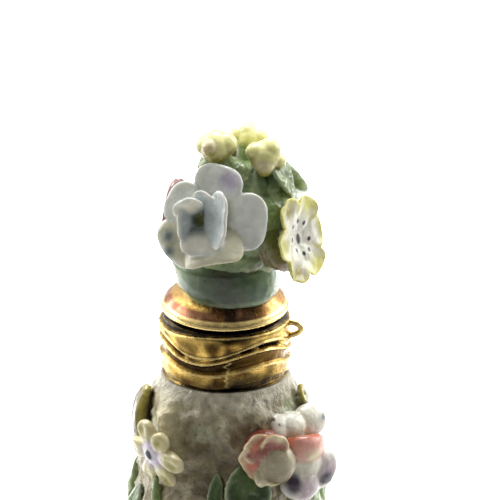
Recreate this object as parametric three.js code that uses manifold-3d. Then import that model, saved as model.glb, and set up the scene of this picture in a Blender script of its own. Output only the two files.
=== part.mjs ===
// A porcelain scent bottle, in millimetres, +Z up, standing on Z = 0 with its front towards -Y.
// The flask is a hollow trunk on a low mound, encrusted with flowers, leaves and stems. A gilt
// band with wavy ridges holds the neck, and a domed ring with a plug carries the bouquet stopper.
import * as THREE from "three";
import { mergeVertices } from "three/addons/utils/BufferGeometryUtils.js";
import Module from "manifold-3d";

const wasm = await Module();
wasm.setup();

// Flask
const FLASK_HEIGHT = 50; // underside to the neck band's lower edge
const MOUND_RADIUS = 15.6;
const MOUND_HEIGHT = 4;
const WAIST_RADIUS = 10.4;
const BELLY_RADIUS = 11.6;
const SHOULDER_RADIUS = 9.1;
const WALL = 2.2;
const FLOOR = 3.2;
const RIDGES = 5; // soft folds up the trunk
const RIDGE_DEPTH = 0.35;
const RIDGE_TURN = -110; // degrees

// Neck, inside the band
const NECK_RADIUS = 6.7;
const NECK_HEIGHT = 6.2;
const BORE_RADIUS = 4.5;

// Neck band
const BAND_RADIUS = 7.9;
const BAND_HEIGHT = 7.4;
const BAND_GAP = 0.3; // round the porcelain neck, and above its lip
const BAND_RELIEF = 0.3;
const BAND_WAVES = 3;
const WAVE_TURN = 38; // degrees from the front to a crest

// Wire loop on the band
const LOOP_WIRE = 0.36; // radius
const LOOP_REACH = 1.35;
const LOOP_HALF_WIDTH = 0.95;
const LOOP_HEIGHT = 5.8; // above the band's lower edge
const LOOP_TURN = 82; // degrees from the front

// Stopper mount and its plug
const SEAT_GAP = 0.12; // between pieces that stand on each other
const DOME_RADIUS = 7.9;
const DOME_HEIGHT = 2.2;
const DOME_TOP_RADIUS = 5.2;
const DOME_LEAN = 4; // degrees, towards the front
const RIM_HEIGHT = 0.4;
const GROOVE_HEIGHT = 1.0;
const GROOVE_DEPTH = 0.6;
const PLUG_GAP = 0.35; // round the plug in the bore
const PLUG_LENGTH = 6.5;
const PLUG_TAPER = 0.3;

// Stopper
const FOOT_RADIUS = 6.35;
const FOOT_HEIGHT = 3.4;
const FOOT_SINK = 0.55; // of its edge below the mount's top
const FOOT_SHIFT = 0.8; // to the right at its foot, and to the left at its top
const HEART_RADII = [7.2, 6.6, 7.2];
const HEART_SHIFT = [2.2, 0.5];
const HEART_RISE = 9.2; // the mount's top to the middle of the bouquet

const ROUND = 36; // facets round the metalwork
const BAND_LEVELS = [
  // height on the band, wave height, relief: 1 is a crest and -1 a hollow
  [0.0, 0, -1],
  [0.1, 0.45, 0.1],
  [0.33, 0.5, 0.9],
  [0.45, 0.65, -1.2],
  [0.56, 0.85, 1],
  [0.63, 0.9, -1],
  [0.7, 0.95, 1],
  [0.84, 0.5, 0.2],
  [1.0, 0, 0.1],
];

const Z_AXIS = new THREE.Vector3(0, 0, 1);
const radians = THREE.MathUtils.degToRad;
const bandFoot = FLASK_HEIGHT + SEAT_GAP;
const mountFoot = bandFoot + BAND_HEIGHT + SEAT_GAP;
const rimFoot = mountFoot + GROOVE_HEIGHT;
const mountTop = rimFoot + RIM_HEIGHT + DOME_HEIGHT;
const heart = new THREE.Vector3(...HEART_SHIFT, mountTop + HEART_RISE);

// Joining and cutting

// A closed geometry as a solid.
function solid(geometry) {
  const bare = geometry.index ? geometry : mergeVertices(geometry);
  bare.deleteAttribute("normal");
  bare.deleteAttribute("uv");
  const merged = mergeVertices(bare, 1e-4);
  return new wasm.Manifold(
    new wasm.Mesh({
      numProp: 3,
      vertProperties: merged.attributes.position.array,
      triVerts: new Uint32Array(merged.index.array),
    }),
  );
}

function joined(solids) {
  return solids.reduce((all, next) => all.add(next));
}

// The largest body of a solid, which drops the crumbs that a cut can leave.
function mainBody(whole) {
  return whole.decompose().reduce((a, b) => (a.volume() > b.volume() ? a : b));
}

function mesh(name, body, material) {
  const found = mainBody(body).getMesh();
  const geometry = new THREE.BufferGeometry();
  geometry.setAttribute("position", new THREE.BufferAttribute(found.vertProperties, 3));
  geometry.setIndex(new THREE.BufferAttribute(found.triVerts, 1));
  geometry.computeVertexNormals();
  const made = new THREE.Mesh(geometry, material);
  made.name = name;
  return made;
}

// Round solids

// Turns a list of [radius, height] about Z. The list starts and ends on the axis, or closes.
function turned(profile, facets) {
  const points = profile.map(([r, z]) => new THREE.Vector2(r, z));
  return new THREE.LatheGeometry(points, facets).rotateX(Math.PI / 2);
}

// Moves each vertex of a geometry.
function reshaped(geometry, change) {
  const place = geometry.attributes.position;
  const v = new THREE.Vector3();
  for (let i = 0; i < place.count; i += 1) {
    v.fromBufferAttribute(place, i);
    change(v);
    place.setXYZ(i, v.x, v.y, v.z);
  }
  return geometry;
}

// Directions: azimuth runs from the front (-Y) towards the right (+X), elevation above level.
function direction(azimuth, elevation) {
  const a = radians(azimuth);
  const e = radians(elevation);
  return new THREE.Vector3(Math.sin(a) * Math.cos(e), -Math.cos(a) * Math.cos(e), Math.sin(e));
}

// Petals and leaves

const PETAL = {
  length: 3,
  width: 2,
  thick: 0.8,
  lift: 20, // slope at the base, in degrees out of the flower's plane
  curl: 20, // further slope gained along the length
  cup: 0.3, // how far the side edges rise
  base: 0, // distance from the flower's middle
  rise: 0,
  turn: 0, // degrees clockwise from the flower's top
  roll: 0, // degrees about the petal's own midline
  widest: 0.62, // share of the length
  square: 0.5, // under 0.5 is blunt, over it is pointed
  notch: 0,
};

// A ball drawn out to a petal: y along its length, z out of the flower's plane.
function petalGeometry(given, facets, rings) {
  const p = { ...PETAL, ...given };
  const power = Math.log(0.5) / Math.log(p.widest);
  const bend = radians(p.curl) || 1e-6;
  const lift = radians(p.lift);
  const roll = radians(p.roll);
  const turn = radians(p.turn);
  return reshaped(new THREE.SphereGeometry(1, facets, rings), (v) => {
    const along = (v.y + 1) / 2;
    const round = Math.hypot(v.x, v.z) || 1;
    const outline = Math.max(0, Math.sin(Math.PI * along ** power)) ** p.square;
    const across = (v.x / round) * outline;
    const body = Math.max(0, Math.sin(Math.PI * along)) ** 0.4;
    const side = (v.x / round) * (p.width / 2) * outline;
    const notched = 1 - p.notch * along ** 3 * Math.exp(-((across / 0.3) ** 2));
    const t = along * notched;
    const slope = lift + bend * t;
    const out = (p.length / bend) * (Math.sin(slope) - Math.sin(lift));
    const up = (p.length / bend) * (Math.cos(lift) - Math.cos(slope));
    const above = (v.z / round) * (p.thick / 2) * body + p.cup * across ** 2 * Math.sin(Math.PI * t * 0.6);
    const x = side * Math.cos(roll) - above * Math.sin(roll);
    const n = side * Math.sin(roll) + above * Math.cos(roll);
    const y = p.base + out - n * Math.sin(slope);
    const z = p.rise + up + n * Math.cos(slope);
    v.set(x * Math.cos(turn) + y * Math.sin(turn), y * Math.cos(turn) - x * Math.sin(turn), z);
  });
}

// A petal ring: the same petal turned count times, each a little different.
function petalRing(count, petal, { start = 0, vary = 0 } = {}) {
  return Array.from({ length: count }, (_, i) => {
    const uneven = vary * Math.sin(2.4 * i + start);
    return {
      ...petal,
      turn: start + (360 / count) * i,
      length: petal.length * (1 + uneven),
      width: petal.width * (1 - 0.6 * uneven),
    };
  });
}

// Stands a geometry, made about its own Z, on a point with its Z along normal.
// spin is the turn about the normal, and top is roughly where its Y points.
function stood(geometry, at, normal, spin = 0, top = Z_AXIS) {
  const n = normal.clone().normalize();
  const right = new THREE.Vector3().crossVectors(top, n);
  if (right.length() < 0.05) right.set(1, 0, 0);
  right.normalize();
  const up = new THREE.Vector3().crossVectors(n, right);
  const frame = new THREE.Matrix4().makeBasis(right, up, n).setPosition(at);
  return geometry.rotateZ(radians(-spin)).applyMatrix4(frame);
}

function ball(radii, at, facets = 8, rings = 6) {
  return solid(
    new THREE.SphereGeometry(1, facets, rings)
      .rotateX(Math.PI / 2)
      .scale(...radii)
      .translate(at.x, at.y, at.z),
  );
}

// Petals round a middle, with a boss of that radius.
function flower({ at, normal, spin = 0, petals, boss = 0, bossRise = 0, detail = [8, 5] }) {
  const parts = petals.map((p) => solid(stood(petalGeometry(p, ...detail), at, normal, spin)));
  if (boss > 0) {
    const middle = at.clone().addScaledVector(normal.clone().normalize(), bossRise);
    parts.push(ball([boss, boss, boss], middle));
  }
  return parts;
}

// A small flower in one piece: a flat ball with a lobed edge.
function rosette({ at, normal, radius, lobes = 5, thick = 1.3, spin = 0, dish = 0.25 }) {
  const shaped = reshaped(
    new THREE.SphereGeometry(1, lobes * 4, 3).rotateX(Math.PI / 2),
    (v) => {
      const angle = Math.atan2(v.y, v.x);
      const level = Math.hypot(v.x, v.y);
      const lobed = 0.8 + 0.2 * Math.cos(lobes * angle);
      v.x *= radius * lobed;
      v.y *= radius * lobed;
      v.z = (v.z * thick) / 2 + dish * radius * level ** 2;
    },
  );
  return solid(stood(shaped, at, normal, spin));
}

// A round rod through points.
function rod(points, radius, steps, sides = 6) {
  const path = new THREE.CatmullRomCurve3(points);
  const section = new THREE.Shape(
    Array.from({ length: sides }, (_, i) => {
      const a = (2 * Math.PI * i) / sides;
      return new THREE.Vector2(radius * Math.cos(a), radius * Math.sin(a));
    }),
  );
  return solid(new THREE.ExtrudeGeometry(section, { steps, extrudePath: path, bevelEnabled: false }));
}

// Flask

const trunkLine = new THREE.CatmullRomCurve3(
  [
    [MOUND_RADIUS * 0.97, 0],
    [MOUND_RADIUS, MOUND_HEIGHT * 0.4],
    [MOUND_RADIUS * 0.9, MOUND_HEIGHT],
    [(MOUND_RADIUS + WAIST_RADIUS * 3) / 4, MOUND_HEIGHT * 2],
    [WAIST_RADIUS, FLASK_HEIGHT * 0.3],
    [BELLY_RADIUS * 0.98, FLASK_HEIGHT * 0.48],
    [BELLY_RADIUS, FLASK_HEIGHT * 0.63],
    [(BELLY_RADIUS + SHOULDER_RADIUS) / 2, FLASK_HEIGHT * 0.81],
    [SHOULDER_RADIUS, FLASK_HEIGHT * 0.94],
    [BAND_RADIUS + 0.1, FLASK_HEIGHT],
  ].map(([r, z]) => new THREE.Vector3(r, 0, z)),
  false,
  "centripetal",
);
const TRUNK_LEVELS = 12;
const trunkProfile = trunkLine.getPoints(TRUNK_LEVELS).map((p) => [p.x, p.z]);
const trunkSamples = trunkLine.getPoints(200);

// Radius of the plain trunk at a height.
function trunkRadius(z) {
  const above = trunkSamples.findIndex((p) => p.z >= z);
  if (above <= 0) return trunkSamples[0].x;
  const [a, b] = [trunkSamples[above - 1], trunkSamples[above]];
  return a.x + ((b.x - a.x) * (z - a.z)) / (b.z - a.z);
}

// Swell of the trunk's soft folds, dying out at the neck and on the underside.
function ridge(angle, z) {
  const share = THREE.MathUtils.clamp(z / FLASK_HEIGHT, 0, 1);
  const fade = Math.min(1, share * 12, (1 - share) * 10);
  const lean = 0.5 * Math.sin(share * 7);
  return RIDGE_DEPTH * fade * Math.cos(RIDGES * angle + radians(RIDGE_TURN) + lean);
}

// A point of the trunk's skin, out along its normal by a distance.
function onTrunk(azimuth, z, out = 0) {
  const level = direction(azimuth, 0);
  const skin = trunkRadius(z) + ridge(radians(azimuth), z);
  return level.multiplyScalar(skin + out).setZ(z);
}

// The trunk's outward direction, which leans up where the trunk narrows above.
function trunkNormal(azimuth, z) {
  const slope = trunkRadius(z - 1) - trunkRadius(z + 1);
  return direction(azimuth, THREE.MathUtils.radToDeg(Math.atan2(slope, 2)));
}

function trunk() {
  const neckTop = FLASK_HEIGHT + NECK_HEIGHT;
  const outside = [
    [0, 0],
    ...trunkProfile,
    [NECK_RADIUS, FLASK_HEIGHT],
    [NECK_RADIUS, neckTop],
    [0, neckTop],
  ];
  return solid(
    reshaped(turned(outside, 28), (v) => {
      const r = Math.hypot(v.x, v.y);
      if (r < NECK_RADIUS + 0.01) return;
      const swell = 1 + ridge(Math.atan2(v.x, -v.y), v.z) / r;
      v.x *= swell;
      v.y *= swell;
    }),
  );
}

// The hollow, from the floor up through the neck's bore.
function hollow() {
  const levels = 5;
  const low = MOUND_HEIGHT * 2;
  const high = FLASK_HEIGHT - 1.2 * WALL;
  const inside = Array.from({ length: levels + 1 }, (_, i) => {
    const z = low + ((high - low) * i) / levels;
    return [Math.max(BORE_RADIUS, trunkRadius(z) - RIDGE_DEPTH - WALL), z];
  });
  const lowest = inside[0][0];
  return solid(
    turned(
      [
        [0, FLOOR],
        [lowest - WALL, FLOOR],
        [lowest - 0.3 * WALL, FLOOR + 0.5 * WALL],
        ...inside,
        [BORE_RADIUS, FLASK_HEIGHT],
        [BORE_RADIUS, FLASK_HEIGHT + NECK_HEIGHT + 1],
        [0, FLASK_HEIGHT + NECK_HEIGHT + 1],
      ],
      18,
    ),
  );
}

// The flask's flowers: azimuth, height as a share of the flask, and distance off the skin.
const whiteFlower = () =>
  flower({
    at: onTrunk(-49, FLASK_HEIGHT * 0.845, 0.9),
    normal: direction(-50, -14),
    detail: [7, 5],
    petals: [
      [-12, 3.7],
      [44, 3.3],
      [97, 4.6],
      [152, 4.4],
      [203, 5.0],
      [265, 3.6],
    ].map(([turn, length]) => ({
      turn,
      length,
      width: 2.4,
      thick: 1.4,
      lift: 8,
      curl: -14,
      cup: 0.2,
      base: 0.6,
      square: 0.34,
    })),
    boss: 1.5,
  });

const stripedFlower = () =>
  flower({
    at: onTrunk(27, FLASK_HEIGHT * 0.86, 0.8),
    normal: direction(16, -4),
    petals: [
      { turn: -122, length: 3.6, width: 5.8, thick: 1.4, lift: 34, curl: -50, cup: 0.7, square: 0.4 },
      { turn: -48, length: 3.6, width: 4.2, thick: 1.4, lift: 30, curl: -30, cup: 0.6, square: 0.4 },
      { turn: 170, length: 4.4, width: 4.8, thick: 1.4, lift: 34, curl: -36, cup: 0.6, square: 0.4 },
      { turn: 20, length: 3.8, width: 3.6, thick: 1.4, lift: 40, curl: -20, cup: 0.5 },
    ],
    boss: 2.3,
    bossRise: -0.2,
  });

const pansy = () =>
  flower({
    at: onTrunk(52, FLASK_HEIGHT * 0.82, 1.3),
    normal: direction(42, -2),
    petals: [
      { turn: 10, length: 3.8, width: 6.0, thick: 2.4, lift: 48, curl: -60, cup: -1.2, square: 0.25, rise: 0.4 },
      { turn: 122, length: 5.2, width: 5.2, thick: 2, lift: 30, curl: -40, cup: -0.6, square: 0.4, rise: 0.4 },
      { turn: -168, length: 4.8, width: 6.0, thick: 2, lift: 34, curl: -44, cup: -0.6, square: 0.4, rise: 0.4 },
    ],
    boss: 3.0,
    bossRise: -0.2,
  });

const whitePetals = () =>
  flower({
    at: onTrunk(54, FLASK_HEIGHT * 0.895, 0.5),
    normal: direction(44, 20),
    petals: [
      { turn: 90, length: 5.2, width: 3.6, thick: 1.6, lift: 26, curl: -24, cup: -0.5, square: 0.32 },
      { turn: -82, length: 3.6, width: 3.2, thick: 1.4, lift: 20, curl: -30, cup: -0.4 },
    ],
    boss: 1.7,
  });

// Small flowers in one piece: [azimuth, share of height, radius, lobes, spin]
const SMALL_FLOWERS = [
  [-98, 0.83, 2.0, 5, 10],
  [80, 0.95, 1.4, 5, 0],
  [84, 0.905, 1.9, 5, 30],
  [-150, 0.87, 3.4, 5, 20],
  [172, 0.79, 4.2, 6, 0],
  [124, 0.75, 3.3, 5, 30],
  [4, 0.45, 3.3, 5, 12],
  [-72, 0.5, 3.0, 6, 0],
  [80, 0.42, 3.2, 5, 40],
  [-146, 0.46, 3.2, 5, 5],
  [150, 0.38, 3.0, 6, 15],
];

// Leaves: [azimuth, share of height at the stalk, turn from up, length, width, lift, curl, thickness]
const LEAVES = [
  [-86, 0.8, -4, 8.4, 5.0, 24, -40, 2.2],
  [10, 0.76, 176, 6.6, 4.6],
  [38, 0.7, 160, 6.6, 4.4],
  [72, 0.75, 172, 6.5, 4.4],
  [-22, 0.66, 186, 6.0, 3.6],
  [-74, 0.72, 176, 6.8, 3.6],
  [-118, 0.72, 185, 6.6, 3.8],
  [156, 0.62, 178, 6.6, 4],
  [106, 0.64, 172, 6.2, 3.8],
  [-170, 0.64, 184, 6.0, 3.6],
  [-24, 0.28, 8, 7.2, 4],
  [38, 0.26, -10, 7.4, 4.2],
  [100, 0.24, 6, 7, 3.8],
  [-105, 0.27, -6, 7.4, 4],
  [-178, 0.26, 10, 7.2, 4],
];

// Stems: [azimuth above, share above, azimuth at the foot]
const STEMS = [
  [-50, 0.78, -40],
  [46, 0.72, 58],
  [4, 0.42, 14],
  [-102, 0.76, -120],
  [172, 0.75, 166],
  [124, 0.7, 116],
];

function leaf([azimuth, share, turn, length, width, lift = 16, curl = -14, thick = 1]) {
  const z = FLASK_HEIGHT * share;
  const shape = { turn, length, width, lift, curl, thick, cup: 0.35, square: 0.6, widest: 0.5 };
  return solid(
    stood(petalGeometry(shape, 7, 4), onTrunk(azimuth, z, 0.1), trunkNormal(azimuth, z)),
  );
}

function stem([azimuth, share, foot]) {
  const count = 5;
  const points = Array.from({ length: count + 1 }, (_, i) => {
    const t = i / count;
    const sway = 5 * Math.sin(Math.PI * 2 * t);
    const z = THREE.MathUtils.lerp(FLASK_HEIGHT * share, MOUND_HEIGHT * 0.9, t);
    return onTrunk(THREE.MathUtils.lerp(azimuth, foot, t) + sway, z, 0.15);
  });
  return rod(points, 0.8, 6, 5);
}

function smallFlower([azimuth, share, radius, lobes, spin]) {
  const z = FLASK_HEIGHT * share;
  return rosette({ at: onTrunk(azimuth, z, 0.5), normal: trunkNormal(azimuth, z), radius, lobes, spin });
}

function bottle() {
  const whole = joined([
    trunk(),
    ...whiteFlower(),
    ...stripedFlower(),
    ...pansy(),
    ...whitePetals(),
    ...SMALL_FLOWERS.map(smallFlower),
    ...LEAVES.map(leaf),
    ...STEMS.map(stem),
  ]);
  return whole.subtract(hollow()).subtract(mountSpace());
}

// Metalwork

// The room of the neck band and what stands above it, which nothing of the flask enters.
function mountSpace() {
  const ring = turned(
    [
      [NECK_RADIUS, FLASK_HEIGHT],
      [3 * BAND_RADIUS, FLASK_HEIGHT],
      [3 * BAND_RADIUS, 2 * FLASK_HEIGHT],
      [NECK_RADIUS, 2 * FLASK_HEIGHT],
      [NECK_RADIUS, FLASK_HEIGHT],
    ],
    ROUND,
  );
  return solid(ring);
}

// The band's waves follow one another round the neck.
function wave(angle) {
  return Math.cos(BAND_WAVES * (angle - radians(WAVE_TURN)));
}

function neckMount() {
  const inner = NECK_RADIUS + BAND_GAP;
  const lipUnder = NECK_HEIGHT + BAND_GAP;
  const profile = [
    [inner, 0],
    ...BAND_LEVELS.map(([share]) => [BAND_RADIUS, share * BAND_HEIGHT]),
    [BORE_RADIUS, BAND_HEIGHT],
    [BORE_RADIUS, lipUnder],
    [inner, lipUnder],
    [inner, 0],
  ];
  const heights = new Map(BAND_LEVELS.map((level) => [(level[0] * BAND_HEIGHT).toFixed(3), level]));
  return solid(
    reshaped(turned(profile, ROUND), (v) => {
      const level = heights.get(v.z.toFixed(3));
      const r = Math.hypot(v.x, v.y);
      if (level && r > BAND_RADIUS - 0.01) {
        const swell = 1 + (BAND_RELIEF * (level[2] - 0.4)) / r;
        v.z += level[1] * wave(Math.atan2(v.x, -v.y)) * (BAND_HEIGHT / 8);
        v.x *= swell;
        v.y *= swell;
      }
      v.z += bandFoot;
    }),
  );
}

function chainLoop() {
  const start = BAND_RADIUS + BAND_RELIEF * 0.6 + SEAT_GAP;
  const out = direction(LOOP_TURN, 0);
  const middle = bandFoot + LOOP_HEIGHT;
  const at = (reach, rise) =>
    out.clone().multiplyScalar(start + reach).setZ(middle + rise);
  const bend = [
    at(0, LOOP_HALF_WIDTH),
    at(0.55 * LOOP_REACH, 0.8 * LOOP_HALF_WIDTH),
    at(0.95 * LOOP_REACH, 0.25 * LOOP_HALF_WIDTH),
    at(LOOP_REACH, -0.2 * LOOP_HALF_WIDTH),
    at(0.8 * LOOP_REACH, -0.7 * LOOP_HALF_WIDTH),
    at(0, -LOOP_HALF_WIDTH),
  ];
  return rod(bend, LOOP_WIRE, 10, 7);
}

// Height gained by the dome's lean at a distance behind the axis.
function domeLean(y) {
  return y * Math.tan(radians(DOME_LEAN));
}

// Leans all that stands over the groove, as an upright shear.
function leaning(geometry) {
  return reshaped(geometry, (v) => {
    if (v.z > rimFoot - 0.001) v.z += domeLean(v.y);
  });
}

// The outside of the stopper mount, above the band, grown by a clearance.
function mountProfile(grow) {
  const dome = rimFoot + RIM_HEIGHT;
  const steps = 6;
  const arc = Array.from({ length: steps + 1 }, (_, i) => {
    const t = i / steps;
    const inward = (1 - t + Math.cos((Math.PI / 2) * t)) / 2;
    const rise = (t + Math.sin((Math.PI / 2) * t)) / 2;
    return [
      DOME_TOP_RADIUS + (DOME_RADIUS - DOME_TOP_RADIUS) * inward + grow,
      dome + DOME_HEIGHT * rise + grow,
    ];
  });
  return [
    [DOME_RADIUS - GROOVE_DEPTH + grow, mountFoot],
    [DOME_RADIUS - GROOVE_DEPTH + grow, rimFoot],
    [DOME_RADIUS + grow, rimFoot],
    ...arc,
    [0, mountTop + grow],
  ];
}

function stopperMount() {
  const plug = BORE_RADIUS - PLUG_GAP;
  const profile = [
    [0, mountFoot - PLUG_LENGTH],
    [plug - PLUG_TAPER, mountFoot - PLUG_LENGTH],
    [plug, mountFoot],
    ...mountProfile(0),
  ];
  return solid(leaning(turned(profile, ROUND)));
}

// Stopper

// A direction from the bouquet's middle, and a distance, give a place on it.
function onHeart(azimuth, elevation, distance) {
  return direction(azimuth, elevation).multiplyScalar(distance).add(heart);
}

// A drum whose edge follows the lean of the mount under it.
function foot() {
  const profile = [
    [0, -FOOT_SINK],
    [FOOT_RADIUS * 0.95, -FOOT_SINK],
    [FOOT_RADIUS, -FOOT_SINK + 0.4],
    [FOOT_RADIUS * 1.03, FOOT_HEIGHT * 0.5],
    [FOOT_RADIUS * 1.02, FOOT_HEIGHT],
    [FOOT_RADIUS * 0.8, FOOT_HEIGHT * 1.4],
    [0, FOOT_HEIGHT * 1.6],
  ];
  return solid(
    reshaped(turned(profile, 26), (v) => {
      const low = Math.max(0, 1 - v.z / FOOT_HEIGHT);
      v.x += FOOT_SHIFT * (Math.min(1, low) - 0.3);
      v.z += mountTop + domeLean(v.y) * Math.min(1, low);
    }),
  );
}

const rose = () => {
  const outer = { thick: 1.3, lift: 6, curl: 10, cup: 0.3, base: 0.6, square: 0.4, widest: 0.64 };
  const inner = { thick: 1.0, cup: 1.1, square: 0.36, widest: 0.64, roll: 14 };
  return flower({
    at: onHeart(-32, 14, 7.8),
    normal: direction(-14, 14),
    detail: [9, 6],
    petals: [
      { ...outer, turn: 12, length: 6.0, width: 6.4, lift: 2, curl: -4 },
      { ...outer, turn: -66, length: 5.2, width: 5.6 },
      { ...outer, turn: -136, length: 6.6, width: 7.0, lift: 24, curl: -30, cup: -0.6 },
      { ...outer, turn: 160, length: 5.6, width: 7.8, square: 0.28, lift: 10, curl: 30 },
      { ...outer, turn: 92, length: 6.6, width: 7.2, lift: 4, curl: -10 },
      { ...inner, turn: 84, length: 4.4, width: 6.8, lift: 56, curl: 30, base: 1.7 },
      { ...inner, turn: -30, length: 3.8, width: 4.8, lift: 52, curl: 60, base: 1.5 },
      { ...inner, turn: -106, length: 3.8, width: 5.2, lift: 52, curl: 50, base: 1.9 },
      { ...inner, turn: 172, length: 3.8, width: 5.4, lift: 50, curl: 44, base: 1.6 },
    ],
    boss: 1.9,
    bossRise: 0.4,
  });
};

// The trumpet flower on the right: a dish with six blunt lobes on a thick tapering tube.
function trumpetFlower() {
  const radius = 4.9;
  const lobes = 6;
  const profile = [
    [0, -0.1],
    [0.3, -0.05],
    [0.6, 0.06],
    [0.86, 0.16],
    [1, 0.12],
    [0.98, -0.08],
    [0.82, -0.26],
    [0.66, -0.7],
    [0.5, -1.1],
    [0, -1.2],
  ];
  const shaped = reshaped(
    turned(profile.map(([r, z]) => [r * radius, z * radius]).reverse(), lobes * 5),
    (v) => {
      const r = Math.hypot(v.x, v.y) / radius;
      const wavy = -Math.cos(lobes * Math.atan2(v.x, v.y));
      const edge = THREE.MathUtils.smoothstep(r, 0.4, 1);
      const reach = 1 + 0.1 * edge * wavy;
      v.x *= reach;
      v.y *= reach;
      v.z += 0.3 * edge * wavy;
    },
  );
  return [solid(stood(shaped, onHeart(60, -13, 7.4), direction(63, 14), 6))];
}

// A bud: balls set in its plane as [right, up, out, radius], on a thick stalk from root.
function bud({ at, normal, root, balls }) {
  const parts = balls.map(([right, up, out, radius]) => {
    const lobe = new THREE.SphereGeometry(radius, 8, 5).translate(right, up, out);
    return solid(stood(lobe, at, normal));
  });
  parts.push(rod([root, at.clone().lerp(root, 0.5), at], 1.25, 2, 7));
  return parts;
}

const buds = () => [
  ...bud({
    at: onHeart(-49, 66, 10.7),
    normal: direction(-6, 4),
    root: onHeart(-52, 62, 5),
    balls: [
      [0, -0.2, 0, 1.8],
      [-1.4, 0, 0, 1.0],
      [1.2, 0.3, 0, 1.2],
      [-0.6, 0.2, 1.3, 1.05],
    ],
  }),
  ...bud({
    at: onHeart(155, 80, 9.6),
    normal: direction(176, 20),
    root: onHeart(140, 75, 5),
    balls: [
      [0, -0.2, 0, 1.5],
      [1.5, 0.3, 0.2, 0.95],
      [0.2, 0.5, 0.3, 1.05],
      [-1.5, 0, 0, 0.95],
    ],
  }),
  ...bud({
    at: onHeart(46, 66, 9.2),
    normal: direction(6, -4),
    root: onHeart(60, 62, 5),
    balls: [
      [0, 0, 0, 1.7],
      [-1.3, 0.8, 0.2, 0.95],
      [0.6, 1.1, 0.1, 1.2],
      [1.5, -0.7, 0.1, 0.95],
      [-0.2, -0.9, 1.1, 1.1],
    ],
  }),
];

// Plain flowers at the bouquet's back: [azimuth, elevation, distance, radius, lobes, spin]
const BACK_FLOWERS = [
  [-108, 0, 8.2, 4.4, 5, 20],
  [168, 4, 6.6, 4.6, 6, 0],
  [-160, 44, 7.2, 3.2, 5, 10],
  [122, 28, 7.4, 3.2, 5, 30],
];

// Leaves on the bouquet: [azimuth, elevation, distance, turn from up, length, width]
const BOUQUET_LEAVES = [
  [-92, 40, 7.2, -12, 3.8, 3.0],
  [78, 26, 7.2, -22, 6.2, 5.2],
  [30, -34, 7.0, 200, 4.2, 4.0],
  [120, -14, 6.8, 170, 5, 3.8],
  [-150, -20, 6.4, 190, 5, 3.8],
];

function bouquetLeaf([azimuth, elevation, distance, turn, length, width]) {
  const shape = { turn, length, width, thick: 1.0, lift: 8, curl: -26, cup: 0.4, square: 0.55, widest: 0.5 };
  const placed = stood(
    petalGeometry(shape, 7, 4),
    onHeart(azimuth, elevation, distance),
    direction(azimuth, elevation),
  );
  return solid(placed);
}

function backFlower([azimuth, elevation, distance, radius, lobes, spin]) {
  const at = onHeart(azimuth, elevation, distance);
  return rosette({ at, normal: direction(azimuth, elevation + 6), radius, lobes, spin, thick: 1.6 });
}

function stopper() {
  const whole = joined([
    foot(),
    ball(HEART_RADII, heart, 14, 9),
    ...rose(),
    ...trumpetFlower(),
    ...buds(),
    ...BACK_FLOWERS.map(backFlower),
    ...BOUQUET_LEAVES.map(bouquetLeaf),
  ]);
  const seat = mountProfile(SEAT_GAP);
  const below = seat[0][1] - 1;
  const room = leaning(turned([[0, below], [seat[0][0], below], ...seat], ROUND));
  return whole.subtract(solid(room));
}

// Finishes

const porcelain = new THREE.MeshStandardMaterial({ color: 0xcfc8b2, roughness: 0.3, metalness: 0 });
const greenPorcelain = new THREE.MeshStandardMaterial({ color: 0x7f9a78, roughness: 0.28, metalness: 0 });
const gilt = new THREE.MeshStandardMaterial({ color: 0xd9b14a, roughness: 0.3, metalness: 1 });
const copper = new THREE.MeshStandardMaterial({ color: 0xb97f4e, roughness: 0.35, metalness: 1 });

const scentBottle = new THREE.Group();
scentBottle.add(
  mesh("bottle", bottle(), porcelain),
  mesh("neck_mount", neckMount(), gilt),
  mesh("chain_loop", chainLoop(), gilt),
  mesh("stopper_mount", stopperMount(), copper),
  mesh("stopper", stopper(), greenPorcelain),
);

export default scentBottle;
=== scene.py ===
"""A flower-encrusted porcelain scent bottle with gilt mounts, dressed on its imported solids.

Sizes are in millimetres inside the classes and in metres in the finished meshes. The bottle
stands on Z = 0 with its front towards -Y. Azimuths run from the front towards +X.
"""

from __future__ import annotations

import logging
import math
from dataclasses import dataclass, field, replace
from enum import Enum
from typing import Any, Callable, Sequence

import bmesh
import bpy
import numpy as np
from mathutils import Matrix, Vector, kdtree, noise

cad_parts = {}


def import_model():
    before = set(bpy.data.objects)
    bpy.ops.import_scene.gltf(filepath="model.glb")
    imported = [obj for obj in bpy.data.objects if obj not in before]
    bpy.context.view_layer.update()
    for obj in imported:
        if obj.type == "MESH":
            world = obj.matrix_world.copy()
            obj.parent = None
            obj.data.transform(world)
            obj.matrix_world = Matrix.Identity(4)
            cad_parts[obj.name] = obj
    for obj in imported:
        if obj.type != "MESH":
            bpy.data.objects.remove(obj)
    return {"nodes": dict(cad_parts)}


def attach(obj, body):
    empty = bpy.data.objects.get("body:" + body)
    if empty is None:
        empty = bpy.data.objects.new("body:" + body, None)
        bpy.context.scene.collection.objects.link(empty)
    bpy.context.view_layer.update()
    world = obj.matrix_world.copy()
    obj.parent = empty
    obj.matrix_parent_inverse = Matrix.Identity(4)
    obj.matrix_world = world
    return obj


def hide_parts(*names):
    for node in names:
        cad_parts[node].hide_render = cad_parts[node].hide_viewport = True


LOG = logging.getLogger("scent_bottle")
MM = 0.001
BODY = "root"
NEARLY_UPRIGHT = 0.05


@dataclass(frozen=True)
class Colour:
    """A paint colour, as 8-bit sRGB values."""

    red: int
    green: int
    blue: int

    def linear(self) -> np.ndarray:
        """Linear values for a shader."""
        values = np.array([self.red, self.green, self.blue]) / 255.0
        return np.where(values <= 0.04045, values / 12.92, ((values + 0.055) / 1.055) ** 2.4)


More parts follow.
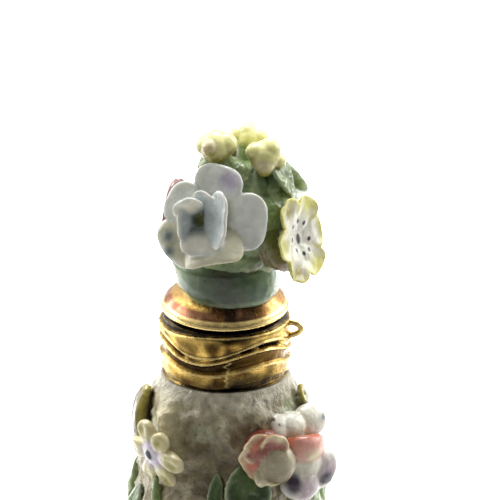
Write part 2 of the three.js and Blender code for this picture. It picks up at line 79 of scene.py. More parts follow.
class Paint(Enum):
    """The enamels and metals of the bottle, and the colours that paint its shade and highlights."""

    WHITE = Colour(214, 213, 200)
    CREAM = Colour(206, 196, 158)
    PALE_YELLOW = Colour(214, 206, 166)
    LEMON = Colour(206, 202, 118)
    STRAW = Colour(186, 178, 134)
    BUD_YELLOW = Colour(228, 226, 160)
    OLIVE = Colour(146, 136, 58)
    MOSS = Colour(96, 104, 50)
    SHADED_PEARL = Colour(190, 188, 164)
    PEARL = Colour(208, 211, 206)
    BLUE_WASH = Colour(180, 189, 190)
    BLUE_GREY = Colour(92, 102, 104)
    LILAC = Colour(192, 184, 202)
    NAVY = Colour(30, 44, 66)
    PURPLE = Colour(46, 34, 52)
    MAUVE = Colour(150, 134, 142)
    PINK = Colour(204, 150, 138)
    ORANGE = Colour(178, 92, 62)
    RUST = Colour(128, 66, 50)
    PUCE = Colour(136, 98, 96)
    LEAF = Colour(112, 132, 82)
    DARK_LEAF = Colour(76, 96, 56)
    SHADED_LEAF = Colour(48, 62, 38)
    LICHEN = Colour(138, 152, 104)
    PALE_LEAF = Colour(160, 174, 142)
    SEA_GREEN = Colour(72, 112, 80)
    BISCUIT = Colour(166, 158, 132)
    CLAY = Colour(116, 104, 74)
    DIRT_AND_SHADE = Colour(56, 50, 38)
    GOLD = Colour(226, 190, 104)
    BRIGHT_GOLD = Colour(250, 222, 150)
    BRONZE_AND_SHADE = Colour(92, 66, 28)
    BLACK_PATINA_AND_SHADE = Colour(22, 20, 22)
    COPPER = Colour(192, 142, 112)
    RED_COPPER = Colour(140, 78, 60)


LINEAR = {name: name.value.linear() for name in Paint}


def paint(name: Paint) -> np.ndarray:
    """Linear values of one paint."""
    return LINEAR[name]


def blend(colour: np.ndarray, over: Paint, share: float) -> np.ndarray:
    """A colour with a share of a paint laid over it."""
    share = min(1.0, max(0.0, share))
    return colour * (1.0 - share) + paint(over) * share


def blends(colours: np.ndarray, over: Paint, shares: np.ndarray) -> np.ndarray:
    """Many colours with their shares of a paint laid over them."""
    shares = np.clip(shares, 0.0, 1.0)[:, None]
    return colours * (1.0 - shares) + paint(over) * shares


def smoothstep(low: float, high: float, value: float) -> float:
    """A smooth rise from 0 at low to 1 at high."""
    t = min(1.0, max(0.0, (value - low) / (high - low)))
    return t * t * (3.0 - 2.0 * t)


def smoothsteps(low: float, high: float, values: np.ndarray) -> np.ndarray:
    """Smooth rises from 0 at low to 1 at high."""
    t = np.clip((values - low) / (high - low), 0.0, 1.0)
    return t * t * (3.0 - 2.0 * t)


def bell(away: float, width: float) -> float:
    """A smooth hump: 1 in its middle, and near 0 beyond twice its width."""
    return math.exp(-((away / width) ** 2))


def polar(point: Vector) -> tuple[float, float]:
    """A point's distance from the bottle's axis, and its azimuth in degrees."""
    return math.hypot(point.x, point.y), math.degrees(math.atan2(point.x, -point.y))


def grain(point: Vector, size: float, seed: float = 0.0) -> float:
    """Smooth noise from -1 to 1 with features of that size in millimetres."""
    return noise.noise(point / size + Vector((seed, seed * 1.7, -seed)))


def direction(azimuth: float, elevation: float = 0.0) -> Vector:
    """A unit vector by azimuth from the front and elevation above level, in degrees."""
    a, e = math.radians(azimuth), math.radians(elevation)
    return Vector((math.sin(a) * math.cos(e), -math.cos(a) * math.cos(e), math.sin(e)))


@dataclass(frozen=True)
class Place:
    """Where a flower, petal or bud stands.

    at is its middle, out is its outward direction and spin turns it clockwise, in degrees.
    """

    at: Vector
    out: Vector
    spin: float = 0.0

    def matrix(self) -> Matrix:
        """The transform from the flower's own plane to the bottle.

        Returns:
            The matrix.
        """
        normal = self.out.normalized()
        right = Vector((0, 0, 1)).cross(normal)
        if right.length < NEARLY_UPRIGHT:
            right = Vector((1, 0, 0))
        right.normalize()
        up = normal.cross(right)
        basis = Matrix((right, up, normal)).transposed().to_4x4()
        spin = Matrix.Rotation(-math.radians(self.spin), 4, "Z")
        return Matrix.Translation(self.at) @ basis @ spin


@dataclass(frozen=True)
class Petal:
    """One petal or leaf: a ball drawn out along its length and bent.

    lift and curl are the slope at its base and the slope gained along it, in degrees. widest is
    the share of the length at its greatest width. square under 0.5 makes the end blunt.
    """

    turn: float = 0.0
    length: float = 3.0
    width: float = 2.0
    thick: float = 0.8
    lift: float = 20.0
    curl: float = 20.0
    cup: float = 0.3
    base: float = 0.0
    rise: float = 0.0
    roll: float = 0.0
    widest: float = 0.62
    square: float = 0.5
    scoop: float = 0.0
    ripple: float = 0.0
    rim_width: float = 0.18
    vein: float = 0.0
    throat: Paint = Paint.PALE_YELLOW
    body: Paint = Paint.WHITE
    rim: Paint = Paint.WHITE
    heart: Paint | None = None
    heart_at: float = 0.72
    heart_size: float = 0.2
    back: Paint | None = None

    def points(self, balls: np.ndarray) -> np.ndarray:
        """The petal's points for points of the unit ball.

        Args:
            balls: the points, with the ball's poles along Y.

        Returns:
            A point of the petal for each.
        """
        power = math.log(0.5) / math.log(self.widest)
        bend = math.radians(self.curl) or 1e-6
        lift = math.radians(self.lift)
        along, side, face = around_ball(balls)
        outline = np.maximum(0.0, np.sin(math.pi * along**power)) ** self.square
        across = side * outline
        body = np.maximum(0.0, np.sin(math.pi * along)) ** 0.35
        slope = lift + bend * along
        out = self.length / bend * (np.sin(slope) - math.sin(lift))
        up = self.length / bend * (math.cos(lift) - np.cos(slope))
        full = np.copysign(np.abs(face) ** 0.75, face)
        above = full * self.thick / 2.0 * body
        above += self.cup * across**2 * np.sin(math.pi * along * 0.6)
        near = ((along - self.heart_at) / 0.2) ** 2 + (across / 0.5) ** 2
        above -= np.where(face > 0, self.scoop * np.exp(-near), 0.0)
        above += self.ripple * np.sin(6.0 * across + 2.0 * along) * along
        side_veins = np.maximum(0.0, np.sin(30.0 * along - 10.0 * np.abs(across)))
        veins = np.exp(-((across / 0.13) ** 2)) + 0.4 * side_veins
        above -= np.where(face > 0, self.vein * veins * body, 0.0)
        width = across * self.width / 2.0
        roll = math.radians(self.roll)
        x = width * math.cos(roll) - above * math.sin(roll)
        lifted = width * math.sin(roll) + above * math.cos(roll)
        y = self.base + out - lifted * np.sin(slope)
        z = self.rise + up + lifted * np.cos(slope)
        turn = math.radians(self.turn)
        turned_x = x * math.cos(turn) + y * math.sin(turn)
        turned_y = y * math.cos(turn) - x * math.sin(turn)
        return np.stack((turned_x, turned_y, z), axis=1)

    def colours(self, balls: np.ndarray) -> np.ndarray:
        """The petal's paint at points of the unit ball.

        Args:
            balls: the points, with the ball's poles along Y.

        Returns:
            A linear colour for each.
        """
        along, side, face = around_ball(balls)
        found = blends(paint(self.throat), self.body, smoothsteps(0.1, 0.5, along))
        inward = 1.0 - self.rim_width
        at_side = smoothsteps(inward, 1.0, np.abs(side))
        edge = np.maximum(at_side, smoothsteps(inward + 0.04, 0.97, along))
        found = blends(found, self.rim, edge)
        if self.heart is not None:
            near = ((along - self.heart_at) / self.heart_size) ** 2
            near += (side / (2.4 * self.heart_size)) ** 2
            found = blends(found, self.heart, np.where(face > -0.1, 1.15 * np.exp(-near), 0.0))
        if self.back is not None:
            found = blends(found, self.back, smoothsteps(0.1, -0.3, face))
        return found


def around_ball(balls: np.ndarray) -> tuple[np.ndarray, np.ndarray, np.ndarray]:
    """Splits points of the unit ball.

    Args:
        balls: the points, with the ball's poles along Y.

    Returns:
        The share of the way from pole to pole, and the sideways and upward parts round it.
    """
    around = np.hypot(balls[:, 0], balls[:, 2])
    around = np.where(around < 1e-9, 1.0, around)
    return np.clip((balls[:, 1] + 1.0) / 2.0, 0.0, 1.0), balls[:, 0] / around, balls[:, 2] / around


Mark = Callable[[np.ndarray, np.ndarray], np.ndarray]
Rows = Sequence[dict[str, Any]]


def even(lobes: int) -> Rows:
    """The changes that turn a flower's petals evenly round it."""
    return [{"turn": 360 / lobes * k} for k in range(lobes)]


@dataclass(frozen=True)
class Spot:
    """A painted dab in a flower's own plane."""

    x: float
    y: float
    radius: float
    colour: Paint
    stretch: float = 1.0
    soft: float = 0.25
    lowest: float = -0.6


def spots_on(place: Place, spots: Sequence[Spot]) -> Mark:
    """Marks a flower with dabs of paint.

    Args:
        place: where the flower stands.
        spots: the dabs, in its plane.

    Returns:
        A function of points and their colours, which gives the new colours.
    """
    inverse = np.array(place.matrix().inverted())

    def mark(points: np.ndarray, colours: np.ndarray) -> np.ndarray:
        """Paints the dabs over the colours.

        Args:
            points: the skin's points.
            colours: their colours.

        Returns:
            The new colours.
        """
        local = points @ inverse[:3, :3].T + inverse[:3, 3]
        for spot in spots:
            right, up = local[:, 0] - spot.x, (local[:, 1] - spot.y) / spot.stretch
            away = np.hypot(right, up) / spot.radius
            cover = 1.0 - smoothsteps(1.0 - spot.soft, 1.0 + spot.soft, away)
            colours = blends(colours, spot.colour, np.where(local[:, 2] > spot.lowest, cover, 0.0))
        return colours

    return mark


LEAF_SHAPE = Petal(
    thick=1.1, widest=0.5, throat=Paint.DARK_LEAF, body=Paint.LEAF, rim=Paint.PALE_LEAF,
    heart=Paint.DARK_LEAF, heart_at=0.4,
)


class Sculpt:
    """Clay that petals, balls and rods are pressed into, then merged into one skin.

    Sizes of the unevenness are in millimetres. BLEED is how many neighbours a paint runs into.
    """

    COARSE = 0.9
    FINE = 0.35
    BLEED = 4
    ROD_RINGS = 44
    ROD_STEP = 0.04
    ROD_SIDE = (0.35, -0.9, 0.2)

    def __init__(self) -> None:
        """Starts with no clay."""
        self.clay = bmesh.new()
        self.paints = self.clay.verts.layers.float_color.new("paint")
        self.marks: list[Mark] = []

    def _ball(self, rings: int) -> tuple[list[bmesh.types.BMVert], np.ndarray]:
        """A unit ball of clay with its poles along Y, and its points.

        Args:
            rings: its fineness.

        Returns:
            Its new corners and their places.
        """
        made = bmesh.ops.create_uvsphere(
            self.clay,
            u_segments=2 * rings,
            v_segments=rings,
            radius=1.0,
            matrix=Matrix.Rotation(math.pi / 2, 4, "X"),
        )
        return made["verts"], np.array([vert.co[:] for vert in made["verts"]])

    def _press(
        self, verts: list[bmesh.types.BMVert], points: np.ndarray, colours: np.ndarray,
        matrix: Matrix,
    ) -> None:
        """Moves a ball's points to their places and paints them.

        Args:
            verts: the ball's corners.
            points: their new places, before the matrix.
            colours: their colours.
            matrix: carries them to the bottle.
        """
        turn = np.array(matrix)
        points = points @ turn[:3, :3].T + turn[:3, 3]
        for vert, point, colour in zip(verts, points.tolist(), colours.tolist()):
            vert.co = point
            vert[self.paints] = (*colour, 1.0)

    def petal(self, petal: Petal, place: Place, rings: int = 22) -> None:
        """Presses one petal on."""
        verts, balls = self._ball(rings)
        self._press(verts, petal.points(balls), petal.colours(balls), place.matrix())

    def flower(self, petal: Petal, rows: Rows, place: Place, rings: int = 22) -> None:
        """Presses a ring of petals on, each with its own changes to one petal."""
        for changes in rows:
            self.petal(replace(petal, **changes), place, rings)

    def ball(
        self,
        at: Vector,
        radii: float | Sequence[float],
        low: Paint,
        high: Paint | None = None,
        place: Place | None = None,
        rings: int = 16,
    ) -> None:
        """Presses a ball on.

        Args:
            at: its middle, in the plane of place when that is given.
            radii: one radius, or three along X, Y and Z.
            low: its colour below; a darker one paints shade on the underside.
            high: its colour above; a lighter one paints light on the top.
            place: the flower that it belongs to.
            rings: its fineness.
        """
        matrix = place.matrix() if place else Matrix.Identity(4)
        verts, balls = self._ball(rings)
        upward = balls @ np.array(matrix.to_3x3()).T
        # painted light and shade: the colour runs from low on the underside to high on the top
        colours = blends(paint(low), high or low, smoothsteps(-0.7, 0.5, upward[:, 2]))
        self._press(verts, balls * np.array(radii) + np.array(at[:]), colours, matrix)

    def rod(
        self, path: Sequence[Vector], radii: Sequence[float], low: Paint, high: Paint | None = None,
    ) -> None:
        """Presses a round-ended rod on, along a path.

        Args:
            path: the rod's middle line.
            radii: its radius at each point of the path.
            low: its colour underneath; a darker one paints shade there.
            high: its colour on top; a lighter one paints light there.
        """
        verts, balls = self._ball(self.ROD_RINGS)
        share = 1.0 - np.arccos(np.clip(balls[:, 1], -1.0, 1.0)) / math.pi
        line = np.array([point[:] for point in path])
        known = np.linspace(0.0, 1.0, len(path))

        def middle(at: np.ndarray) -> np.ndarray:
            """Points of the middle line."""
            return np.stack([np.interp(at, known, line[:, axis]) for axis in range(3)], axis=1)

        ahead, behind = np.clip(share + self.ROD_STEP, 0, 1), np.clip(share - self.ROD_STEP, 0, 1)
        forward = middle(ahead) - middle(behind)
        forward /= np.linalg.norm(forward, axis=1)[:, None]
        side = np.cross(forward, self.ROD_SIDE)
        side /= np.linalg.norm(side, axis=1)[:, None]
        over = np.cross(side, forward)
        _, across, face = around_ball(balls)
        rounded = np.sqrt(np.maximum(0.0, 1.0 - (2.0 * share - 1.0) ** 10))
        radius = np.interp(share, known, radii) * rounded
        offset = (side * across[:, None] + over * face[:, None]) * radius[:, None]
        # painted light and shade: the colour runs from low underneath to high on top
        upward = smoothsteps(-0.7, 0.5, offset[:, 2] / np.maximum(radius, 1e-6))
        colours = blends(paint(low), high or low, upward)
        self._press(verts, middle(share) + offset, colours, Matrix.Identity(4))

    def finish(
        self, name: str, voxel: float, smooth: int = 3, uneven: float = 0.0,
    ) -> bpy.types.Object:
        """Merges the clay into one skin and carries its colours over.

        Args:
            name: the piece's name.
            voxel: the fineness of the skin, in millimetres.
            smooth: rounds of smoothing.
            uneven: depth of the hand-worked unevenness, in millimetres.

        Returns:
            The finished piece, in metres.
        """
        tree = kdtree.KDTree(len(self.clay.verts))
        shades = np.array([vert[self.paints][:3] for vert in self.clay.verts])
        for index, vert in enumerate(self.clay.verts):
            tree.insert(vert.co, index)
        tree.balance()
        rough = bpy.data.meshes.new(name + "_clay")
        self.clay.to_mesh(rough)
        self.clay.free()
        lump = stand(name + "_clay", rough)
        merge = lump.modifiers.new("merge", "REMESH")
        merge.mode = "VOXEL"
        merge.voxel_size = voxel
        soften = lump.modifiers.new("soften", "SMOOTH")
        soften.factor = 0.5
        soften.iterations = smooth
        mesh = as_seen(lump)
        count = len(mesh.vertices)
        points, normals = np.empty((2, count * 3), dtype=np.float32)
        mesh.vertices.foreach_get("co", points)
        mesh.vertex_normals.foreach_get("vector", normals)
        points, normals = points.reshape(-1, 3), normals.reshape(-1, 3)
        colours = np.array([shades[tree.find(point)[1]] for point in points.tolist()])
        colours = self._bled(mesh, colours, self.BLEED)
        for mark in self.marks:
            colours = mark(points, colours)
        if uneven:
            places = [Vector(point) for point in points.tolist()]
            depths = [grain(at, self.COARSE) + 0.5 * grain(at, self.FINE, 2.0) for at in places]
            points = points + normals * (uneven * np.array(depths))[:, None]
            mesh.vertices.foreach_set("co", points.astype(np.float32).ravel())
        skin = mesh.color_attributes.new("paint", "FLOAT_COLOR", "POINT")
        opaque = np.hstack((colours, np.ones((count, 1))))
        skin.data.foreach_set("color", opaque.astype(np.float32).ravel())
        return as_piece(name, mesh)

    @staticmethod
    def _bled(mesh: bpy.types.Mesh, colours: np.ndarray, rounds: int) -> np.ndarray:
        """Lets each paint bleed into its neighbours, as enamels do in the kiln.

        Args:
            mesh: the merged skin.
            colours: a colour for each of its points.
            rounds: how far the paints bleed.

        Returns:
            The softened colours.
        """
        pairs = np.empty(len(mesh.edges) * 2, dtype=np.int32)
        mesh.edges.foreach_get("vertices", pairs)
        first, second = pairs.reshape(-1, 2).T
        count = len(colours)
        near = 1.0 + np.bincount(first, minlength=count) + np.bincount(second, minlength=count)

        def shared(column: np.ndarray) -> np.ndarray:
            """One channel, evened out with its neighbours."""
            inward = column + np.bincount(first, column[second], count)
            return (inward + np.bincount(second, column[first], count)) / near

        for _ in range(rounds):
            colours = np.stack([shared(column) for column in colours.T], axis=1)
        return colours


def stand(name: str, data: bpy.types.ID) -> bpy.types.Object:
    """Stands a mesh, curve, lamp or camera in the scene.

    Args:
        name: the object's name.
        data: what it shows.

    Returns:
        The new object.
    """
    made = bpy.data.objects.new(name, data)
    bpy.context.scene.collection.objects.link(made)
    return made


def as_seen(shape: bpy.types.Object) -> bpy.types.Mesh:
    """Makes a mesh of an object as it looks, and removes the object.

    Args:
        shape: a curve, or a mesh with modifiers.

    Returns:
        The finished mesh.
    """
    graph = bpy.context.evaluated_depsgraph_get()
    mesh = bpy.data.meshes.new_from_object(shape.evaluated_get(graph))
    bpy.data.objects.remove(shape)
    return mesh


def as_piece(name: str, mesh: bpy.types.Mesh) -> bpy.types.Object:
    """Links a mesh in millimetres as a smooth piece in metres.

    Args:
        name: the piece's name.
        mesh: its mesh, in millimetres.

    Returns:
        The finished piece, in metres.
    """
    mesh.name = name
    mesh.transform(Matrix.Scale(MM, 4))
    mesh.shade_smooth()
    mesh.update()
    return stand(name, mesh)


def turned(
    name: str,
    profile: Sequence[tuple[float, float]],
    steps: int,
    shape: Callable[[Vector], tuple[Vector, np.ndarray]],
) -> bpy.types.Object:
    """Spins a profile about Z and works its surface.

    Args:
        name: the piece's name.
        profile: radius and height pairs, closed on the axis or on itself.
        steps: facets round the axis.
        shape: gives each point's new place and its colour.

    Returns:
        The finished piece, in metres.
    """
    work = bmesh.new()
    layer = work.verts.layers.float_color.new("paint")
    row = [work.verts.new((0.0, -r, z)) for r, z in profile]
    edges = [work.edges.new(pair) for pair in zip(row, row[1:])]
    bmesh.ops.spin(
        work,
        geom=row + edges,
        cent=(0, 0, 0),
        axis=(0, 0, 1),
        dvec=(0, 0, 0),
        angle=2 * math.pi,
        steps=steps,
        use_merge=True,
        use_duplicate=False,
    )
    bmesh.ops.remove_doubles(work, verts=work.verts, dist=1e-4)
    bmesh.ops.recalc_face_normals(work, faces=work.faces)
    for vert in work.verts:
        moved, colour = shape(vert.co.copy())
        vert.co = moved
        vert[layer] = (*colour, 1.0)
    bmesh.ops.triangulate(work, faces=[face for face in work.faces if len(face.verts) > 4])
    mesh = bpy.data.meshes.new(name)
    work.to_mesh(mesh)
    work.free()
    return as_piece(name, mesh)


@dataclass(frozen=True)
class Finish:
    """A surface whose colour is the piece's own paint, broken up by fine noise.

    mottle and specks are shares of 1, and sizes are in millimetres. bleed is how far each
    colour of light runs under the glaze, in metres. The ranges are those of the noise used.
    """

    name: str
    roughness: float = 0.3
    metallic: float = 0.0
    coat: float = 0.0
    subsurface: float = 0.0
    mottle: float = 0.1
    mottle_size: float = 1.6
    specks: float = 0.0
    speck_size: float = 0.5
    bump: float = 0.03
    bump_size: float = 0.7
    wear: float = 0.06
    coat_roughness: float = 0.12
    bleed: tuple[float, float, float] = (0.0012, 0.0010, 0.0008)
    cloud_range: tuple[float, float] = (0.3, 0.7)
    speck_range: tuple[float, float] = (0.66, 0.74)

    def material(self) -> bpy.types.Material:
        """Builds the material.

        Returns:
            The new material.
        """
        made = bpy.data.materials.new(self.name)
        made.use_nodes = True
        nodes, links = made.node_tree.nodes, made.node_tree.links
        shader = nodes["Principled BSDF"]
        where = nodes.new("ShaderNodeTexCoord").outputs["Object"]
        colour = nodes.new("ShaderNodeAttribute")
        colour.attribute_name = "paint"

        def cloud(size: float, detail: float) -> bpy.types.NodeSocket:
            """Noise with features of that size.

            Args:
                size: the features' size, in millimetres.
                detail: how many finer rounds it has.

            Returns:
                Values about 0.5.
            """
            node = nodes.new("ShaderNodeTexNoise")
            node.inputs["Scale"].default_value = 1.0 / (size * MM)
            node.inputs["Detail"].default_value = detail
            links.new(where, node.inputs["Vector"])
            return node.outputs["Fac"]

        def ranged(
            source: bpy.types.NodeSocket, old: tuple[float, float], new: tuple[float, float]
        ) -> bpy.types.NodeSocket:
            """Maps one range of values to another.

            Args:
                source: the values.
                old: their range.
                new: the range that they are mapped to.

            Returns:
                The mapped values.
            """
            node = nodes.new("ShaderNodeMapRange")
            for key, value in zip(("From Min", "From Max", "To Min", "To Max"), (*old, *new)):
                node.inputs[key].default_value = value
            links.new(source, node.inputs["Value"])
            return node.outputs["Result"]

        scaled = nodes.new("ShaderNodeVectorMath")
        scaled.operation = "SCALE"
        links.new(colour.outputs["Color"], scaled.inputs[0])
        mottles = (1.0 - self.mottle, 1.0 + self.mottle)
        tone = ranged(cloud(self.mottle_size, 4.0), self.cloud_range, mottles)
        links.new(tone, scaled.inputs["Scale"])
        result = scaled.outputs[0]
        if self.specks:
            dots = ranged(cloud(self.speck_size, 1.0), self.speck_range, (0.0, self.specks))
            specked = nodes.new("ShaderNodeMix")
            specked.data_type = "RGBA"
            links.new(dots, specked.inputs["Factor"])
            links.new(result, specked.inputs[6])
            specked.inputs[7].default_value = (*paint(Paint.DIRT_AND_SHADE), 1.0)
            result = specked.outputs[2]
        links.new(result, shader.inputs["Base Color"])
        worn = (self.roughness - self.wear, self.roughness + self.wear)
        rubbed = ranged(cloud(self.mottle_size * 0.6, 3.0), self.cloud_range, worn)
        links.new(rubbed, shader.inputs["Roughness"])
        bump = nodes.new("ShaderNodeBump")
        bump.inputs["Strength"].default_value = 1.0
        bump.inputs["Distance"].default_value = self.bump * MM
        links.new(cloud(self.bump_size, 5.0), bump.inputs["Height"])
        links.new(bump.outputs["Normal"], shader.inputs["Normal"])
        plain = {
            "Metallic": self.metallic,
            "Coat Weight": self.coat,
            "Coat Roughness": self.coat_roughness,
            "Subsurface Weight": self.subsurface,
            "Subsurface Radius": self.bleed,
            "Subsurface Scale": 1.0,
        }
        for key, value in plain.items():
            shader.inputs[key].default_value = value
        return made


GLAZE = Finish("glazed_porcelain", roughness=0.3, coat=0.25, subsurface=0.2, mottle=0.12, bump=0.03)
CRUMB = Finish(
    "crumbed_trunk",
    roughness=0.42,
    coat=0.12,
    subsurface=0.1,
    mottle=0.3,
    mottle_size=1.0,
    specks=0.55,
    speck_size=0.45,
    bump=0.25,
    bump_size=0.5,
)
GREEN_GLAZE = Finish(
    "green_glaze", roughness=0.32, coat=0.3, subsurface=0.08, mottle=0.25, mottle_size=1.2,
    bump=0.05,
)
GILT = Finish(
    "worn_gilt", roughness=0.3, metallic=1.0, mottle=0.28, mottle_size=0.9, bump=0.05,
    bump_size=0.5, wear=0.1,
)
COPPER = Finish(
    "worn_copper", roughness=0.3, metallic=1.0, mottle=0.22, mottle_size=1.1, bump=0.03, wear=0.1,
)


class Dresser:
    """Dresses the finished pieces and hands them to the frame."""

    def __init__(self) -> None:
        """Starts with no materials made."""
        self.made: dict[str, bpy.types.Material] = {}

    def dress(self, piece: bpy.types.Object, finish: Finish, slot: str, *nodes: str) -> None:
        """Gives a piece its finish and its place in the frame.

        Args:
            piece: the finished piece.
            finish: its surface.
            slot: the record's material slot; not used.
            nodes: the solids that it replaces.
        """
        if finish.name not in self.made:
            self.made[finish.name] = finish.material()
        piece.data.materials.append(self.made[finish.name])
        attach(piece, BODY)
        if nodes:
            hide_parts(*nodes)
        LOG.info("%s: %d faces, %s", piece.name, len(piece.data.polygons), finish.name)


@dataclass(frozen=True)
class Trunk:
    """The hollow flask: a trunk on a low mound, with its neck."""

    height: float = 50.0
    knots: tuple[tuple[float, float], ...] = (
        (0.0, 15.1),
        (1.6, 15.6),
        (4.0, 14.0),
        (8.0, 11.7),
        (15.0, 10.4),
        (24.0, 11.35),
        (31.5, 11.6),
        (40.5, 10.4),
        (47.0, 9.1),
        (50.0, 8.0),
    )
    wall: float = 2.2
    floor: float = 3.2
    neck_radius: float = 6.7
    neck_height: float = 6.2
    bore: float = 4.5
    ridges: int = 5
    ridge_depth: float = 0.35
    ridge_turn: float = -110.0

    def radius(self, z: float) -> float:
        """Radius of the plain trunk at a height, by a smooth curve through the knots.

        Args:
            z: the height.

        Returns:
            The radius, without folds.
        """
        z = min(self.height, max(0.0, z))
        knots = self.knots
        i = next((k for k in range(len(knots) - 1) if z <= knots[k + 1][0]), len(knots) - 2)
        (z0, r0), (z1, r1) = knots[i], knots[i + 1]

        def slope(k: int) -> float:
            """Slope of the curve at a knot."""
            a, b = knots[max(0, k - 1)], knots[min(len(knots) - 1, k + 1)]
            return (b[1] - a[1]) / (b[0] - a[0])

        span = z1 - z0
        t = (z - z0) / span
        return (
            (2 * t**3 - 3 * t**2 + 1) * r0
            + (t**3 - 2 * t**2 + t) * span * slope(i)
            + (3 * t**2 - 2 * t**3) * r1
            + (t**3 - t**2) * span * slope(i + 1)
        )

    def ridge(self, azimuth: float, z: float) -> float:
        """Swell of the trunk's soft folds at a place.

        Args:
            azimuth: degrees from the front.
            z: the height.

        Returns:
            How far the skin stands out.
        """
        share = min(1.0, max(0.0, z / self.height))
        fade = min(1.0, share * 12, (1 - share) * 10)
        lean = 0.5 * math.sin(share * 7)
        turn = self.ridges * math.radians(azimuth) + math.radians(self.ridge_turn) + lean
        return self.ridge_depth * fade * math.cos(turn)

    def skin(self, azimuth: float, z: float, out: float = 0.0) -> Vector:
        """A point on the trunk's skin, or a distance off it."""
        way = direction(azimuth) * (self.radius(z) + self.ridge(azimuth, z) + out)
        return Vector((way.x, way.y, z))

    def normal(self, azimuth: float, z: float) -> Vector:
        """The trunk's outward direction at a place."""
        slope = self.radius(z - 1) - self.radius(z + 1)
        return direction(azimuth, math.degrees(math.atan2(slope, 2)))

    def place(self, azimuth: float, z: float, out: float = 0.0) -> Place:
        """A place that faces out of the trunk's skin."""
        return Place(self.skin(azimuth, z, out), self.normal(azimuth, z))

    def build(self) -> bpy.types.Object:
        """Spins the flask and works its crumbed skin.

        Returns:
            The finished piece, in metres.
        """
        outer = [(self.radius(self.height * i / 150), self.height * i / 150) for i in range(151)]
        neck_top = self.height + self.neck_height
        inner = [
            (max(self.bore, self.radius(z) - self.ridge_depth - self.wall), z)
            for z in (self.height - 1.2 * self.wall - k * 6.0 for k in range(7))
        ]
        profile = [
            (0.0, 0.0),
            *outer,
            (self.neck_radius, self.height),
            (self.neck_radius, neck_top),
            (self.bore, neck_top),
            (self.bore, self.height),
            *inner,
            (inner[-1][0] - self.wall, self.floor),
            (0.0, self.floor),
        ]
        return turned("flask_trunk", profile, steps=210, shape=self._worked)

    def _worked(self, point: Vector) -> tuple[Vector, np.ndarray]:
        """Folds, crumb, paint, painted shade and a painted highlight at one point of the flask.

        Args:
            point: the plain spun point.

        Returns:
            Its new place and its colour.
        """
        r, azimuth = polar(point)
        outside = r > self.neck_radius + 0.01 and r > self.radius(point.z) - 0.5
        if not outside:
            return point, paint(Paint.WHITE)
        low = smoothstep(0.0, 1.5, point.z)
        near_neck = smoothstep(self.height - 2.6, self.height - 0.9, point.z)
        in_front = smoothstep(70, 40, abs(azimuth))
        crumb = (1.0 - 0.9 * near_neck) * low * (0.55 + 0.45 * in_front)
        swell = self.ridge(azimuth, point.z)
        swell += 0.6 * low * (1 - near_neck) * grain(point, 3.4)
        crest = 1.0 - min(1.0, 3.0 * abs(grain(point, 2.6, 15.0)))
        swell += 0.5 * crumb * crest * crest
        swell += 0.4 * crumb * grain(point, 1.3, 4.0)
        swell += 0.26 * crumb * max(0.0, grain(point, 0.6, 9.0))
        swell += self._groove(azimuth, point.z) * crumb
        moved = Vector((point.x * (1 + swell / r), point.y * (1 + swell / r), point.z))
        stain = 0.55 + grain(point, 3.0, 2.0) + 0.5 * grain(point, 0.9) - 0.4 * crest
        tint = blend(paint(Paint.BISCUIT), Paint.CLAY, stain)
        tint = blend(tint, Paint.PALE_LEAF, 0.55 * smoothstep(0.1, 0.5, grain(point, 5.0, 5.0)))
        # painted shade: the front middle of the trunk is darkened towards clay and, in blotches,
        # towards near-black
        shade = bell(azimuth + 4, 32) * smoothstep(48, 42, point.z) * smoothstep(20, 30, point.z)
        tint = blend(tint, Paint.CLAY, 0.9 * shade)
        shade_blotches = smoothstep(-0.4, 0.3, grain(point, 1.5, 6.0))
        tint = blend(tint, Paint.DIRT_AND_SHADE, 0.4 * shade * shade_blotches)
        # painted highlight: the left fold is tinted cream
        tint = blend(tint, Paint.CREAM, 0.9 * self._left_fold(azimuth, point.z))
        tint = blend(tint, Paint.WHITE, 0.3 * near_neck)
        tint = blend(tint, Paint.SEA_GREEN, 0.5 * smoothstep(9.0, 3.0, point.z))
        return moved, tint

    def _left_fold(self, azimuth: float, z: float) -> float:
        """Nearness to the fold at the left of the front, which is painted pale as a highlight."""
        span = smoothstep(50, 48, z) * smoothstep(38, 43, z)
        return bell(azimuth + 51 - (49 - z) * 1.5, 9) * span

    def _groove(self, azimuth: float, z: float) -> float:
        """The two slanting folds of the trunk's front.

        Args:
            azimuth: degrees from the front.
            z: the height.

        Returns:
            How far the skin stands out there.
        """
        span = smoothstep(49.6, 48.4, z) * smoothstep(41, 44, z)
        slant = bell(azimuth - 7 - (49.2 - z) * 7.5, 12) * span
        rough = 1.0 + 0.9 * grain(Vector((azimuth / 9, z, 0)), 1.2, 13.0)
        return 0.9 * self._left_fold(azimuth, z) + 0.85 * slant * rough


